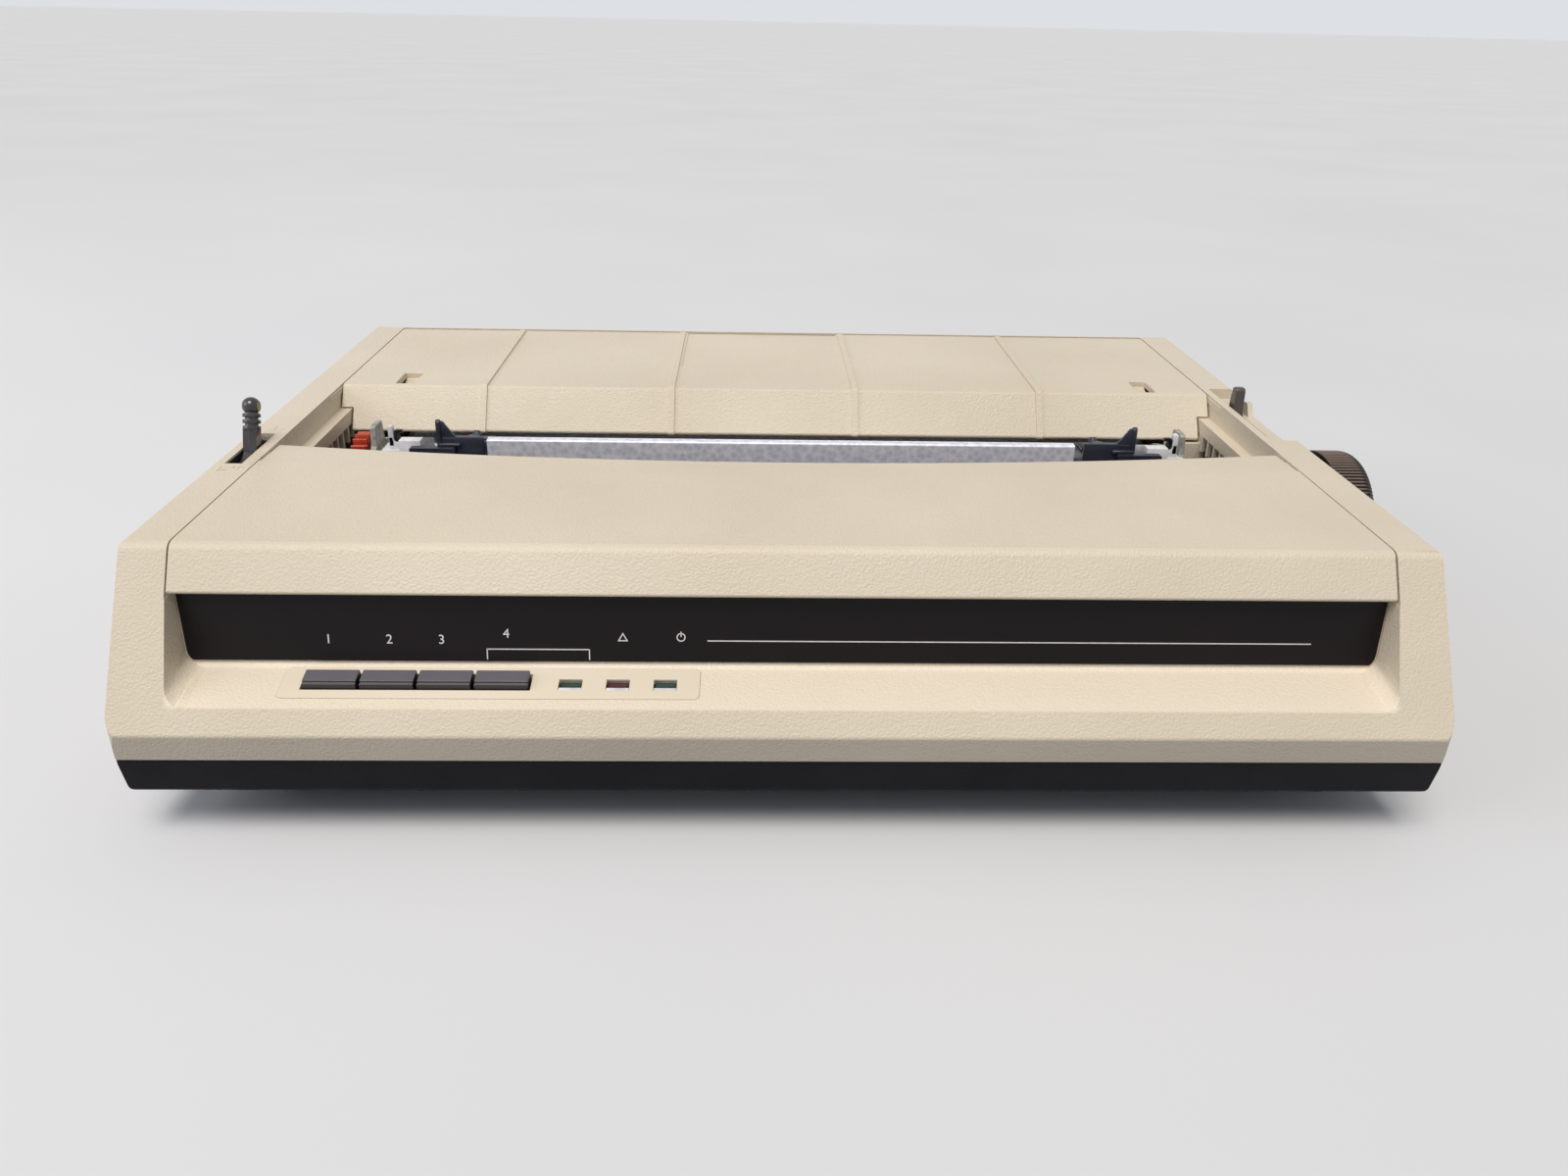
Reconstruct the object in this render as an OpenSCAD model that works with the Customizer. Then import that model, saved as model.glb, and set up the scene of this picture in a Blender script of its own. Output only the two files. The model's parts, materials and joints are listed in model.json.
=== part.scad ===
// Desktop dot matrix printer with hinged covers, a friction platen and a tractor feed.
// Millimetres. X runs to the right, Y to the rear, Z up; the floor is z = 0.

/* [Case] */
// Width of the case over the creases of its side walls
case_w = 364; // [363:0.5:366]
// Depth of the case over its front and rear creases
case_d = 275; // [273:0.5:277]
// Height of the closed covers above the floor
case_h = 80; // [79.5:0.25:81]
// Wall thickness of the shells and covers
wall = 2.5; // [2.2:0.1:2.8]
// Height of the seam between the dark base and the light case
seam_z = 27; // [26:0.5:28]
// Height of the widest line round the case
crease_z = 36; // [35:0.5:37]
// Width of the opening that the two covers fill
opening_w = 336.8; // [336:0.1:337.4]
// Gap between a cover and the rail beside it
cover_gap = 0.45; // [0.3:0.05:0.6]

/* [Covers] */
// Rear edge of the front cover beside the rails
front_cover_rear_y = -27; // [-28:0.5:-26]
// How far the rear edge of the front cover bows forwards at its middle
front_cover_bow = 12.5; // [11:0.5:13]
// Crease where the top of the rear cover turns down
rear_cover_crease_y = 41; // [40:0.5:43]
// Height of the ribs on the rear cover
rib_h = 0.8; // [0.4:0.1:1.2]

/* [Controls] */
// Width of one button, with its share of the gap
button_pitch = 15.45; // [15:0.05:15.6]
// Travel of a button
button_travel = 1; // [0.6:0.1:1.1]
// Distance between the indicator windows
lamp_pitch = 13; // [12:0.5:14]

/* [Paper feed] */
// Radius of the rubber platen
platen_r = 15.5; // [15:0.1:15.6]
// Length of the rubber platen
platen_l = 208; // [200:1:208]
// Radius of the hand knob
knob_r = 23; // [20:0.5:23]
// Number of grip grooves round the knob
knob_ridges = 60; // [48:4:64]
// Outer face of the knob, from the middle of the case
knob_end_x = 196; // [195:0.5:198]
// Distance between the two rows of drive pins
pin_row_span = 228.6; // [226:0.1:229]
// Distance between two drive pins along the paper
pin_step = 12.7; // [12.5:0.1:12.7]

/* [Print mechanism] */
// Radius of the shaft that carries the print head
guide_shaft_r = 5; // [4.5:0.1:5]
// Inside distance between the two side plates
frame_gap = 290; // [288:0.5:291]
// Width of the ribbon cartridge
cartridge_w = 80; // [70:1:82]

/* [Hidden] */
$fn = 48;

// The knob makes the right side longer, so the case sits left of the origin.
case_hw = case_w / 2;
shift_x = -(knob_end_x - case_hw) / 2;
case_hd = case_d / 2;
open_hw = opening_w / 2;
cover_hw = open_hw - cover_gap;
top_hw = case_hw - 0.8;
front_lean = 27.5 / 44;
top_front_y = -case_hd + front_lean * (case_h - crease_z);
top_rear_y = case_hd - 4;
corner_r = 3.5;
ledge_z = case_h - 8;
ledge_in = 164;
snug = 0.06;

// Recess under the front cover: shelf, panel wall and the lip above them
lip_z = case_h - 12.2;
cheek_hw = open_hw - 1.8;
shelf_front = [front_y(42.2), 42.2];
shelf_back = [-116.5, 46];
panel_top = [-112, 69];
shelf_tilt = atan2(shelf_back[1] - shelf_front[1], shelf_back[0] - shelf_front[0]);
panel_lean = atan2(panel_top[0] - shelf_back[0], panel_top[1] - shelf_back[1]);
panel_t = 0.8;
button_s = 7.9;
button_d = 5.8;
button_x0 = -133.1;
buttons = 4;
plate_x = [-139.1, -25];
plate_s = [4.3, 16.6];
lamp_x0 = -60.6;
lamps = 3;
lamp_s = 10;
lamp_size = [6.4, 4.4];

// Hinges of the two covers
access_axis = [-31, case_h - 3.5];
rear_axis = [127.5, case_h - 3];
rear_edge_y = 129.5;
pin_r = 1.8;

// Shafts of the mechanism, each as [y, z]
platen_axis = [-29, 57];
tractor_axis = [7, 59];
tractor_guide_axis = [24, 59.5];
guide_axis = [-72, 45];
arm_axis = [-52, 26];
release_axis = [22, 50];
roller_r = 6;
roller_axis = platen_axis + (platen_r + roller_r + 0.1) * [sin(-4), -cos(-4)];

// Gear train: module 1, platen gear to idler to tractor gear, and motor pinion to idler
platen_teeth = 30;
idler_teeth = 20;
tractor_teeth = 24;
pinion_teeth = 12;
gear_x = -151.5;
gear_w = 5;
to_tractor = tractor_axis - platen_axis;
mesh_a = (platen_teeth + idler_teeth) / 2;
mesh_b = (idler_teeth + tractor_teeth) / 2;
along = (norm(to_tractor) ^ 2 + mesh_a ^ 2 - mesh_b ^ 2) / (2 * norm(to_tractor));
below = sqrt(mesh_a ^ 2 - along ^ 2);
line = to_tractor / norm(to_tractor);
idler_axis = platen_axis + along * line + below * [line[1], -line[0]];
pinion_bearing = -48;
pinion_axis = idler_axis + (idler_teeth + pinion_teeth) / 2 * [cos(pinion_bearing), sin(pinion_bearing)];
platen_phase = 0;
idler_phase = meshed(platen_axis, platen_teeth, platen_phase, idler_axis, idler_teeth);
tractor_phase = meshed(idler_axis, idler_teeth, idler_phase, tractor_axis, tractor_teeth);
pinion_phase = meshed(idler_axis, idler_teeth, idler_phase, pinion_axis, pinion_teeth);

// Side plates, tractors and carriage
frame_in = frame_gap / 2;
frame_t = 2;
pin_x = pin_row_span / 2;
wheel_pins = 6;
tractor_w = 18;
tractors_at = 2.3;
lid_axis_z = 72.4;
lid_hinge_x = pin_x - 7.1;
wheel_r = wheel_pins * pin_step / (2 * PI);
bar_hw = 103;
bar_y = -12;
bar_top = 76.4;
pulley_x = 122;
belt_y = -90;
pulley_r = 6.2;
belt_z = 31.8;
belt_in = pulley_r + 0.15;
belt_t = 1.2;
belt_w = 5;
cartridge_hw = cartridge_w / 2;
nose_y = platen_axis[0] - platen_r - 2.3;
cartridge_z = 54;
head_z = 63.2;

// Sockets and switch in the rear wall: middle x, middle z
inlet_at = [-126, 42];
socket_at = [92, 42];
switch_at = [-88, 42];
slot_hw = 125;
slot_z = [60.5, 70.5];

// ---- Shape helpers ----
function front_y(z) = top_front_y - front_lean * (case_h - z);
function unit(v) = v / norm(v);
function arc_turn(d) = d > 180 ? d - 360 : d < -180 ? d + 360 : d;
function fillet(prev, p, next, r, n) =
    let (u = unit(prev - p), w = unit(next - p), half = acos(u * w) / 2,
         c = p + unit(u + w) * r / sin(half), s = p + u * r / tan(half) - c,
         e = p + w * r / tan(half) - c, a0 = atan2(s[1], s[0]),
         turn = arc_turn(atan2(e[1], e[0]) - a0))
    [for (i = [0:n]) c + r * [cos(a0 + turn * i / n), sin(a0 + turn * i / n)]];
// Outline with corners given as [a, b, corner radius]
function rounded(pts, n = 5) =
    [for (i = [0:len(pts) - 1])
        let (p = pts[i], q = pts[(i + len(pts) - 1) % len(pts)], s = pts[(i + 1) % len(pts)])
        each (p[2] == 0 ? [[p[0], p[1]]]
            : fillet([q[0], q[1]], [p[0], p[1]], [s[0], s[1]], p[2], n))];
function flip_x(pts) = [for (i = [len(pts) - 1:-1:0]) [-pts[i][0], pts[i][1], pts[i][2]]];

// Phase of a gear at b that meshes with a gear at a
function meshed(a, a_teeth, a_phase, b, b_teeth) =
    let (dir = atan2(b[1] - a[1], b[0] - a[0]), f = (dir - a_phase) * a_teeth / 360)
    dir + 180 - (0.5 - f) * 360 / b_teeth;
function inv(a) = tan(a) * 180 / PI - a;
function half_tooth(n, r) =
    let (rb = n / 2 * cos(20), backlash = 0.22)
    90 / n - backlash / n * 180 / PI + inv(20) - (r <= rb ? 0 : inv(acos(rb / r)));
function flank_radii(n) = let (rp = n / 2) [rp - 1.1, max(rp * cos(20), rp - 0.9), rp, rp + 0.8];
function gear_outline(n, phase) =
    [for (i = [0:n - 1]) let (mid = phase + i * 360 / n, rr = flank_radii(n)) each concat(
        [for (k = [0:3]) rr[k] * [cos(mid - half_tooth(n, rr[k])), sin(mid - half_tooth(n, rr[k]))]],
        [for (k = [3:-1:0]) rr[k] * [cos(mid + half_tooth(n, rr[k])), sin(mid + half_tooth(n, rr[k]))]])];

module placed() { translate([shift_x, 0, 0]) children(); }
// A (y, z) outline as wide as w, centred on x
module across(w, x = 0) {
    translate([x, 0, 0]) rotate([90, 0, 90]) linear_extrude(w, center = true) children();
}
// An (x, z) outline from y0 to y1
module lengthwise(y0, y1) { translate([0, y1, 0]) rotate([90, 0, 0]) linear_extrude(y1 - y0) children(); }
module box(lo, hi) { translate(lo) cube(hi - lo); }
// A round bar along x at the [y, z] point p
module bar_x(p, r, x0, x1) { translate([x0, p[0], p[1]]) rotate([0, 90, 0]) cylinder(r = r, h = x1 - x0); }
module both_sides() { children(); mirror([1, 0, 0]) children(); }
module on_shelf() { translate([0, shelf_front[0], shelf_front[1]]) rotate([shelf_tilt, 0, 0]) children(); }
module plan_corners(r) {
    square([case_w - 2 * r, case_d], center = true);
    square([case_w, case_d - 2 * r], center = true);
    for (x = [-1, 1], y = [-1, 1]) translate([x * (case_hw - r), y * (case_hd - r)]) circle(r);
}

// ---- Case shells ----
// Outer form of the light case, drawn in by t on every side
module upper_form(t) {
    low = t > 0 ? seam_z - 5 : seam_z;
    tf = t * 1.18;
    intersection() {
        across(case_w + 10) polygon(rounded([
            [-case_hd + 2.5 + t, low, 0], [-case_hd + 2.5 + t, seam_z, 0],
            [-case_hd + tf, crease_z, 1.5], [top_front_y + tf, case_h - t, 4 - t / 2],
            [top_rear_y - t, case_h - t, 1.5], [case_hd - t, crease_z, 1.5],
            [case_hd - 2 - t, seam_z, 0], [case_hd - 2 - t, low, 0]]));
        lengthwise(-case_hd - 5, case_hd + 5) polygon(rounded([
            [-case_hw + 0.2 + t, low, 0], [-case_hw + 0.2 + t, seam_z, 0],
            [-case_hw + t, crease_z, 0], [-top_hw + t, case_h - t, 1.2],
            [top_hw - t, case_h - t, 1.2], [case_hw - t, crease_z, 0],
            [case_hw - 0.2 - t, seam_z, 0], [case_hw - 0.2 - t, low, 0]]));
        translate([0, 0, low - 1]) linear_extrude(case_h) plan_corners(max(corner_r - t, 1));
    }
}

// Rail beside the covers: inner wall, ledge and the skirt under it
module rail_inside() {
    intersection() {
        upper_form(0);
        across(wall, open_hw + wall / 2) polygon([[-case_hd, 40], [-113, 44.5], [-108, ledge_z - wall],
            [top_rear_y, ledge_z - wall], [top_rear_y, case_h + 1], [-case_hd, case_h + 1]]);
    }
    box([ledge_in, -108, ledge_z - wall], [open_hw + wall, top_rear_y - 1, ledge_z]);
    box([ledge_in, -108, ledge_z - 5], [ledge_in + 2, top_rear_y - 1, ledge_z]);
    // fingers that hang from the ledge beside the mechanism
    for (i = [0:4]) box([ledge_in, 9 + i * 6.2, ledge_z - 11], [ledge_in + 1.6, 10.3 + i * 6.2, ledge_z - 4]);
    // cheek of the recess: it leans outwards and runs into the shelf in a round corner
    intersection() {
        upper_form(0);
        difference() {
            across(3, open_hw - 1) polygon([[shelf_front[0] - 8, shelf_front[1] - 3.6],
                [shelf_back[0] + 1.5, shelf_back[1] - 1.5], [panel_top[0] + 1, 67], [shelf_front[0] + 12, 67],
                [shelf_front[0] - 8, 50]]);
            on_shelf() recess_hollow();
        }
    }
}
module recess_hollow() lengthwise(-30, 40) polygon(rounded([[-open_hw - 0.1, 24.5, 0], [-cheek_hw, 0, 4.5],
    [cheek_hw, 0, 4.5], [open_hw + 0.1, 24.5, 0]], 6));

// Shelf and panel wall of the front recess
module recess_liner() {
    across(opening_w + wall * 2) polygon(rounded([
        [shelf_front[0], shelf_front[1], 0], [shelf_back[0], shelf_back[1], 2.5],
        [panel_top[0], panel_top[1], 0], [panel_top[0] + wall, panel_top[1], 0],
        [shelf_back[0] + wall, shelf_back[1] - wall, 0],
        [shelf_front[0] + 0.6, shelf_front[1] - wall, 0]]));
}

// Stepped notch in the right rail, round the release lever
module release_notch() {
    box([open_hw + 2.8, -14, case_h - 4], [case_hw + 2, 49, case_h + 1]);
}

module button_slots() {
    translate([button_x0 - 0.3, button_s - 0.3, -6])
        cube([buttons * button_pitch + 0.3, button_d + 0.6, 10]);
}

module lamp_windows(grow) {
    for (i = [0:lamps - 1]) translate([lamp_x0 + i * lamp_pitch, lamp_s, 0])
        cube([lamp_size[0] + grow, lamp_size[1] + grow, 12], center = true);
}

module rear_wall_cuts() {
    box([-slot_hw, 120, slot_z[0]], [slot_hw, 150, slot_z[1]]);
    box([inlet_at[0] - 13.7, 120, inlet_at[1] - 10.2], [inlet_at[0] + 13.7, 150, inlet_at[1] + 10.2]);
    box([socket_at[0] - 30.2, 120, socket_at[1] - 7.2], [socket_at[0] + 30.2, 150, socket_at[1] + 7.2]);
    box([switch_at[0] - 9.2, 120, switch_at[1] - 6.7], [switch_at[0] + 9.2, 150, switch_at[1] + 6.7]);
}

module upper_case() placed() color("#D6C9A9") {
    upper_shell();
    lever_guard();
}

module upper_shell() difference() {
    union() {
        difference() {
            upper_form(0);
            upper_form(wall);
            // opening for both covers, and the recess below the front cover
            box([-open_hw, -case_hd, ledge_z], [open_hw, rear_edge_y + 1.8, case_h + 1]);
            across(opening_w) polygon([[shelf_front[0] - 20, shelf_front[1] - 3.6],
                shelf_front, [shelf_back[0] + 1, shelf_back[1]], [-105, case_h + 1],
                [-case_hd - 20, case_h + 1]]);
        }
        both_sides() rail_inside();
        intersection() { upper_form(0); recess_liner(); }
        // floor and inner wall of the notch in the right rail
        intersection() {
            upper_form(0);
            box([open_hw, -16.5, case_h - 6.5], [case_hw, 51.5, case_h]);
        }
        // bosses that the case screws bite into
        for (x = [-150, 150]) {
            translate([x, -119, seam_z]) cylinder(r = 5, h = 17);
            translate([x, 128, seam_z]) cylinder(r = 6, h = 14);
        }
        // partition below the edge of the rear cover, beside the right side plate
        box([frame_in + 5.5, 29.6, 50], [ledge_in + 2, 32, 63.6]);
        box([ledge_in, 29.6, 50], [ledge_in + 2, 32, ledge_z]);
    }
    release_notch();
    // slots of the two levers
    box([-open_hw - 9.2, -48, case_h - 5], [-open_hw - 3.8, -18.5, case_h + 1]);
    box([open_hw + 3.4, 2, case_h - 9], [open_hw + 8.6, 35, case_h + 1]);
    on_shelf() {
        button_slots();
        lamp_windows(0.5);
        translate([0, 0, -0.5]) linear_extrude(3.5) plate_outline(0);
    }
    // hinge holes of the covers
    both_sides() {
        bar_x(access_axis, pin_r + snug, open_hw - 1, open_hw + wall + 1);
        bar_x(rear_axis, pin_r + snug, open_hw - 1, open_hw + wall + 1);
    }
    // hole of the knob's shaft
    bar_x(platen_axis, 6, ledge_in + 10, case_hw + 5);
    rear_wall_cuts();
    for (x = [-150, 150], y = [-119, 128]) translate([x, y, seam_z - 1]) cylinder(r = 1.5, h = 13);
}

// Small guard beside the release lever belongs to the right rail
module lever_guard() across(2, open_hw + 11.2)
    polygon(rounded([[23.5, case_h - 5, 0], [27.4, case_h + 0.7, 1], [30.4, case_h + 0.7, 1],
        [33, case_h - 5, 0]]));

module pan_form(t) {
    rim = seam_z + (t > 0 ? 5 : 0);
    low = 14.8 + t;
    intersection() {
        across(case_w + 10) polygon(rounded([[-case_hd + 2.5 + t, rim, 0], [-case_hd + 2.5 + t, seam_z - 1, 0],
            [-case_hd + 5 + t, low, 2], [-124 + t, low, 0], [-118 + t, 5 + t, 0], [118 - t, 5 + t, 0],
            [124 - t, low, 0], [case_hd - 4.5 - t, low, 2], [case_hd - 2 - t, seam_z - 1, 0],
            [case_hd - 2 - t, rim, 0]]));
        lengthwise(-case_hd - 5, case_hd + 5) polygon(rounded([[-case_hw + 0.2 + t, rim, 0],
            [-case_hw + 0.3 + t, low, 2.5], [-166 + t, low, 0], [-160 + t, 5 + t, 0], [160 - t, 5 + t, 0],
            [166 - t, low, 0], [case_hw - 0.3 - t, low, 2.5], [case_hw - 0.2 - t, rim, 0]]));
        linear_extrude(case_h) plan_corners(max(corner_r - t, 1));
    }
}

feet_at = [[-140, -100], [140, -100], [-140, 100], [140, 100]];
screw_posts = [[-150, -119], [150, -119], [-150, 128], [150, 128]];

module lower_case() placed() color("#26241F") difference() {
    union() {
        difference() { pan_form(0); pan_form(wall); }
        for (p = screw_posts) intersection() {
            translate([p[0], p[1], 5]) cylinder(r = 5.5, h = seam_z - 5);
            pan_form(0);
        }
        // pillars under the circuit board and the transformer
        for (x = [-90, 20, 130], y = [30, 112]) translate([x, y, 5]) cylinder(r = 3.5, h = 9);
    }
    for (p = screw_posts) {
        translate([p[0], p[1], -1]) cylinder(r = 1.8, h = 40);
        translate([p[0], p[1], -1]) cylinder(r = 3.6, h = 18.5);
    }
    for (p = feet_at) translate([p[0], p[1], 4]) cylinder(r = 9.1, h = 2);
    for (i = [0:11]) box([-30 + i * 8, 60, 4], [-27 + i * 8, 105, 9]);
}

module rubber_feet() placed() color("#2B2A28") for (p = feet_at) translate([p[0], p[1], 0]) {
    cylinder(r1 = 7.6, r2 = 8.4, h = 1.2, $fn = 48);
    translate([0, 0, 1.2]) cylinder(r = 8.4, h = 3.2);
    translate([0, 0, 4.4]) cylinder(r = 9, h = 1.6);
}

module screws() placed() color("#9A9C9F") {
    for (p = screw_posts) translate([p[0], p[1], 0]) {
        difference() {
            translate([0, 0, 14.4]) cylinder(r = 3.2, h = 3);
            translate([0, 0, 14]) for (a = [0, 90]) rotate([0, 0, a]) cube([4, 0.8, 2.4], center = true);
        }
        translate([0, 0, 17.4]) cylinder(r = 1.5, h = 20);
    }
    for (s = [-1, 1], y = [-60, 40]) translate([s * (frame_in - 7), y, 9.6]) {
        cylinder(r = 1.5, h = 1.4);
        translate([0, 0, 1.4]) cylinder(r = 3, h = 2.2);
    }
}

// ---- Front controls ----
module front_panel() placed() color("#1D1714") intersection() {
    across(opening_w - 1.2) translate(shelf_back) rotate(-panel_lean)
        polygon([[-panel_t, 1.6], [-0.02, 1.6], [-0.02, norm(panel_top - shelf_back)],
            [-panel_t, norm(panel_top - shelf_back)]]);
    lengthwise(-150, -100) polygon(rounded([[-open_hw + 0.5, 70, 0], [-cheek_hw + 0.5, 46.6, 4.4],
        [cheek_hw - 0.5, 46.6, 4.4], [open_hw - 0.5, 70, 0]]));
}

// Outline of the plate round the buttons, drawn in by g
module plate_outline(g) polygon(rounded([
    [plate_x[0] + g, plate_s[0] + g, 1.6 - g], [plate_x[1] - g, plate_s[0] + g, 1.6 - g],
    [plate_x[1] - g, plate_s[1] - g, 1.6 - g], [plate_x[0] + g, plate_s[1] - g, 1.6 - g]], 4));

module button_plate() placed() color("#D9CDB0") on_shelf() difference() {
    translate([0, 0, -0.48]) linear_extrude(0.68) plate_outline(0.1);
    button_slots();
    lamp_windows(0);
}

// One button cap: finger face, waist in the slot and the stem under it
module button(i) placed() color("#3A3735") on_shelf() translate([button_x0 + i * button_pitch, button_s, 0]) {
    cap_w = button_pitch - 0.3;
    difference() {
        translate([0, 0, -3.6]) cube([cap_w, button_d, 5.7]);
        translate([-1, -0.9, 2.1]) rotate([-16, 0, 0]) cube([cap_w + 2, 2, 2]);
    }
    translate([cap_w / 2 - 2, button_d / 2 - 2, -4.4]) cube([4, 4, 1]);
}
module button_1() button(0);
module button_2() button(1);
module button_3() button(2);
module button_4() button(3);

module lamp_lenses() placed() color("#4D7A4B") on_shelf() for (i = [0:lamps - 1])
    translate([lamp_x0 + i * lamp_pitch, lamp_s, -2]) cube([lamp_size[0], lamp_size[1], 2.4], center = true);

module operator_board() placed() on_shelf() {
    color("#3F6B3A") box([-142, 2.4, -9.6], [-22, 16.2, -8]);
    color("#D8D4C8") for (i = [0:buttons - 1])
        translate([button_x0 + (i + 0.5) * button_pitch - 0.15, button_s + button_d / 2, -6.9])
            cube([6, 6, 2.2], center = true);
    color("#E8EAEA") for (i = [0:lamps - 1])
        translate([lamp_x0 + i * lamp_pitch, lamp_s, -8]) cylinder(r = 1.5, h = 4.4);
}

// ---- Electronics ----
module main_board() placed() color("#3F6B3A") difference() {
    box([-96, 24, 14], [138, 118, 15.6]);
    for (x = [-90, 20, 130], y = [30, 112]) translate([x, y, 13]) cylinder(r = 1.6, h = 4);
}

module board_components() placed() translate([0, 0, 15.6]) {
    color("#202022") {
        for (i = [0:2]) box([-40 + i * 34, 62, 0], [-14 + i * 34, 76, 4.2]);
        for (i = [0:4]) box([-46 + i * 24, 88, 0], [-28 + i * 24, 95, 3.6]);
        box([74, 60, 0], [120, 75, 4.6]);
    }
    color("#2C4A86") for (i = [0:1]) translate([-72, 52 + i * 24, 0]) cylinder(r = 9, h = 26);
    color("#B9BBBE") {
        box([-48, 104, 0], [40, 106, 22]);
        for (i = [0:7]) box([-46 + i * 12, 98, 4], [-44.5 + i * 12, 104, 20]);
    }
    color("#E4DFCF") {
        box([-20, 28, 0], [10, 34, 8]);
        box([30, 28, 0], [50, 34, 8]);
        box([70, 28, 0], [110, 34, 8]);
    }
}

module transformer() placed() {
    color("#7B7C7E") difference() {
        box([-155, 69, 9], [-105, 101, 52]);
        box([-146, 68, 17], [-137, 102, 43]);
        box([-125, 68, 17], [-116, 102, 43]);
    }
    color("#C48A2C") difference() {
        box([-145.6, 63, 18], [-116.4, 107, 42]);
        box([-137.2, 68.8, 0], [-124.8, 101.2, 60]);
    }
    color("#6A6B6D") for (x = [-155, -105.5]) box([x, 72, 7.5], [x + 0.5, 98, 10]);
}

module power_inlet() placed() color("#191919") translate([inlet_at[0], 0, inlet_at[1]]) difference() {
    union() {
        box([-13.5, 116, -10], [13.5, case_hd - 1, 10]);
        for (i = [-1:1]) box([i * 7 - 1, 108, -3], [i * 7 + 1, 116, 3]);
    }
    box([-12, 118, -8], [12, case_hd, 8]);
    for (i = [-1:1]) box([i * 7 - 1, 115, (i == 0 ? 3.5 : -1.5)], [i * 7 + 1, 119, (i == 0 ? 7 : 2)]);
}

module interface_connector() placed() translate([socket_at[0], 0, socket_at[1]]) {
    color("#B4B6B8") difference() {
        box([-30, 114, -7], [30, case_hd - 1, 7]);
        lengthwise(118, case_hd)
            polygon(rounded([[-28, 5.6, 1], [-25.5, -5.6, 1], [25.5, -5.6, 1], [28, 5.6, 1]]));
    }
    color("#2E4C8C") box([-22, 118, -1.8], [22, case_hd - 3, 1.8]);
    color("#D6D8DA") for (x = [-36, 33]) box([x, 128, -2.5], [x + 3, 132, 2.5]);
    color("#B4B6B8") for (s = [-1, 1]) box([s < 0 ? -36 : 30, 126, -4], [s < 0 ? -30 : 36, 128, 4]);
}

module switch_housing() placed() color("#1A1A1A") translate([switch_at[0], 0, switch_at[1]]) difference() {
    box([-9, 118, -6.5], [9, case_hd - 1.4, 6.5]);
    box([-7.6, 124, -5.2], [7.6, case_hd, 5.2]);
}

module switch_rocker() placed() color("#111111") translate([switch_at[0], 0, switch_at[1]])
    translate([0, 0, -4.6]) linear_extrude(9.2) polygon([[-7, 127], [7, 127], [6.6, case_hd - 1.4],
        [0, case_hd - 2.8], [-6.6, case_hd - 3.6], [-7, 131]]);

// ---- Mechanism frame ----
module frame_outline() polygon(rounded([[-113, 8, 0], [50, 8, 0], [62, 30, 4], [62, 58, 3], [31, 58, 2],
    [30, 63.5, 2], [11, 68.5, 1], [9.5, 76.2, 1.2], [1.5, 76.2, 1.2], [0, 68.5, 1.5], [-36, 67, 3],
    [-48, 55, 3], [-66, 54, 3], [-113, 42, 3]]));

module side_frame(s) difference() {
    union() {
        across(frame_t, s * (frame_in + frame_t / 2)) frame_outline();
        // feet bent inwards, screwed to the base
        for (y = [-60, 40])
            box([s < 0 ? -frame_in : frame_in - 12, y - 8, 8], [s < 0 ? -frame_in + 12 : frame_in, y + 8, 9.6]);
    }
    across(30, s * frame_in) {
        translate(platen_axis) circle(8);
        translate(guide_axis) circle(guide_shaft_r + snug);
        translate(tractor_axis) circle(6);
        translate(tractor_guide_axis) circle(3 + snug);
        translate(arm_axis) circle(2.5 + snug);
        translate([-30, 22]) circle(7);
        translate([-90, 24]) circle(9);
    }
}

module left_side_frame() placed() color("#B7B9BC") {
    difference() {
        side_frame(-1);
        bar_x(pinion_axis, 8, -frame_in - 5, -frame_in + 1);
    }
    // stud of the idler gear
    bar_x(idler_axis, 3, -156.5, -frame_in - frame_t + 0.5);
    bar_x(idler_axis, 4.4, -157.5, -156);
}

module right_side_frame() placed() color("#B7B9BC") {
    side_frame(1);
    // stud that the release lever turns on
    bar_x(release_axis, 3, frame_in + frame_t - 0.5, open_hw + 8);
}

module front_rail() placed() color("#A9ABAE") {
    box([-frame_in, -111, 36], [frame_in, -98.2, 38]);
    box([-frame_in, -111, 26], [frame_in, -109, 38]);
    // shelf that the motor hangs from, and the stud of the idler pulley
    difference() {
        box([-frame_in, -111, 28.6], [-102, -72, 30.2]);
        translate([-pulley_x, belt_y, 20]) cylinder(r = 4, h = 20);
    }
    box([108, -111, 28.2], [frame_in, -80, 30.2]);
    translate([pulley_x, belt_y, 30]) cylinder(r = 2.5, h = 9.5);
}

module paper_deck() placed() color("#9FA2A5") {
    across(2 * frame_in - 0.4)
        polygon([[33, 54], [34.2, 54], [34.2, 56.8], [126, 58.8], [126, 60], [33, 58]]);
    both_sides() box([frame_in - 1.6, 36, 48], [frame_in - 0.2, 58, 57]);
}

module guide_shaft() placed() color("#C9CBCE") {
    bar_x(guide_axis, guide_shaft_r, -frame_in - 9, frame_in + 7);
    bar_x(guide_axis, 3, -open_hw - 8.4, -frame_in - 8.5);
}

module paper_chute() placed() color("#8F9295") difference() {
    across(2 * frame_in - 0.6) difference() {
        translate(platen_axis) circle(platen_r + 2.9);
        translate(platen_axis) circle(platen_r + 1.7);
        translate([-60, 47]) square([70, 40]);
    }
    for (x = [-72, 0, 72]) box([x - 13, -45, 30], [x + 13, -15, 50]);
}

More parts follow.
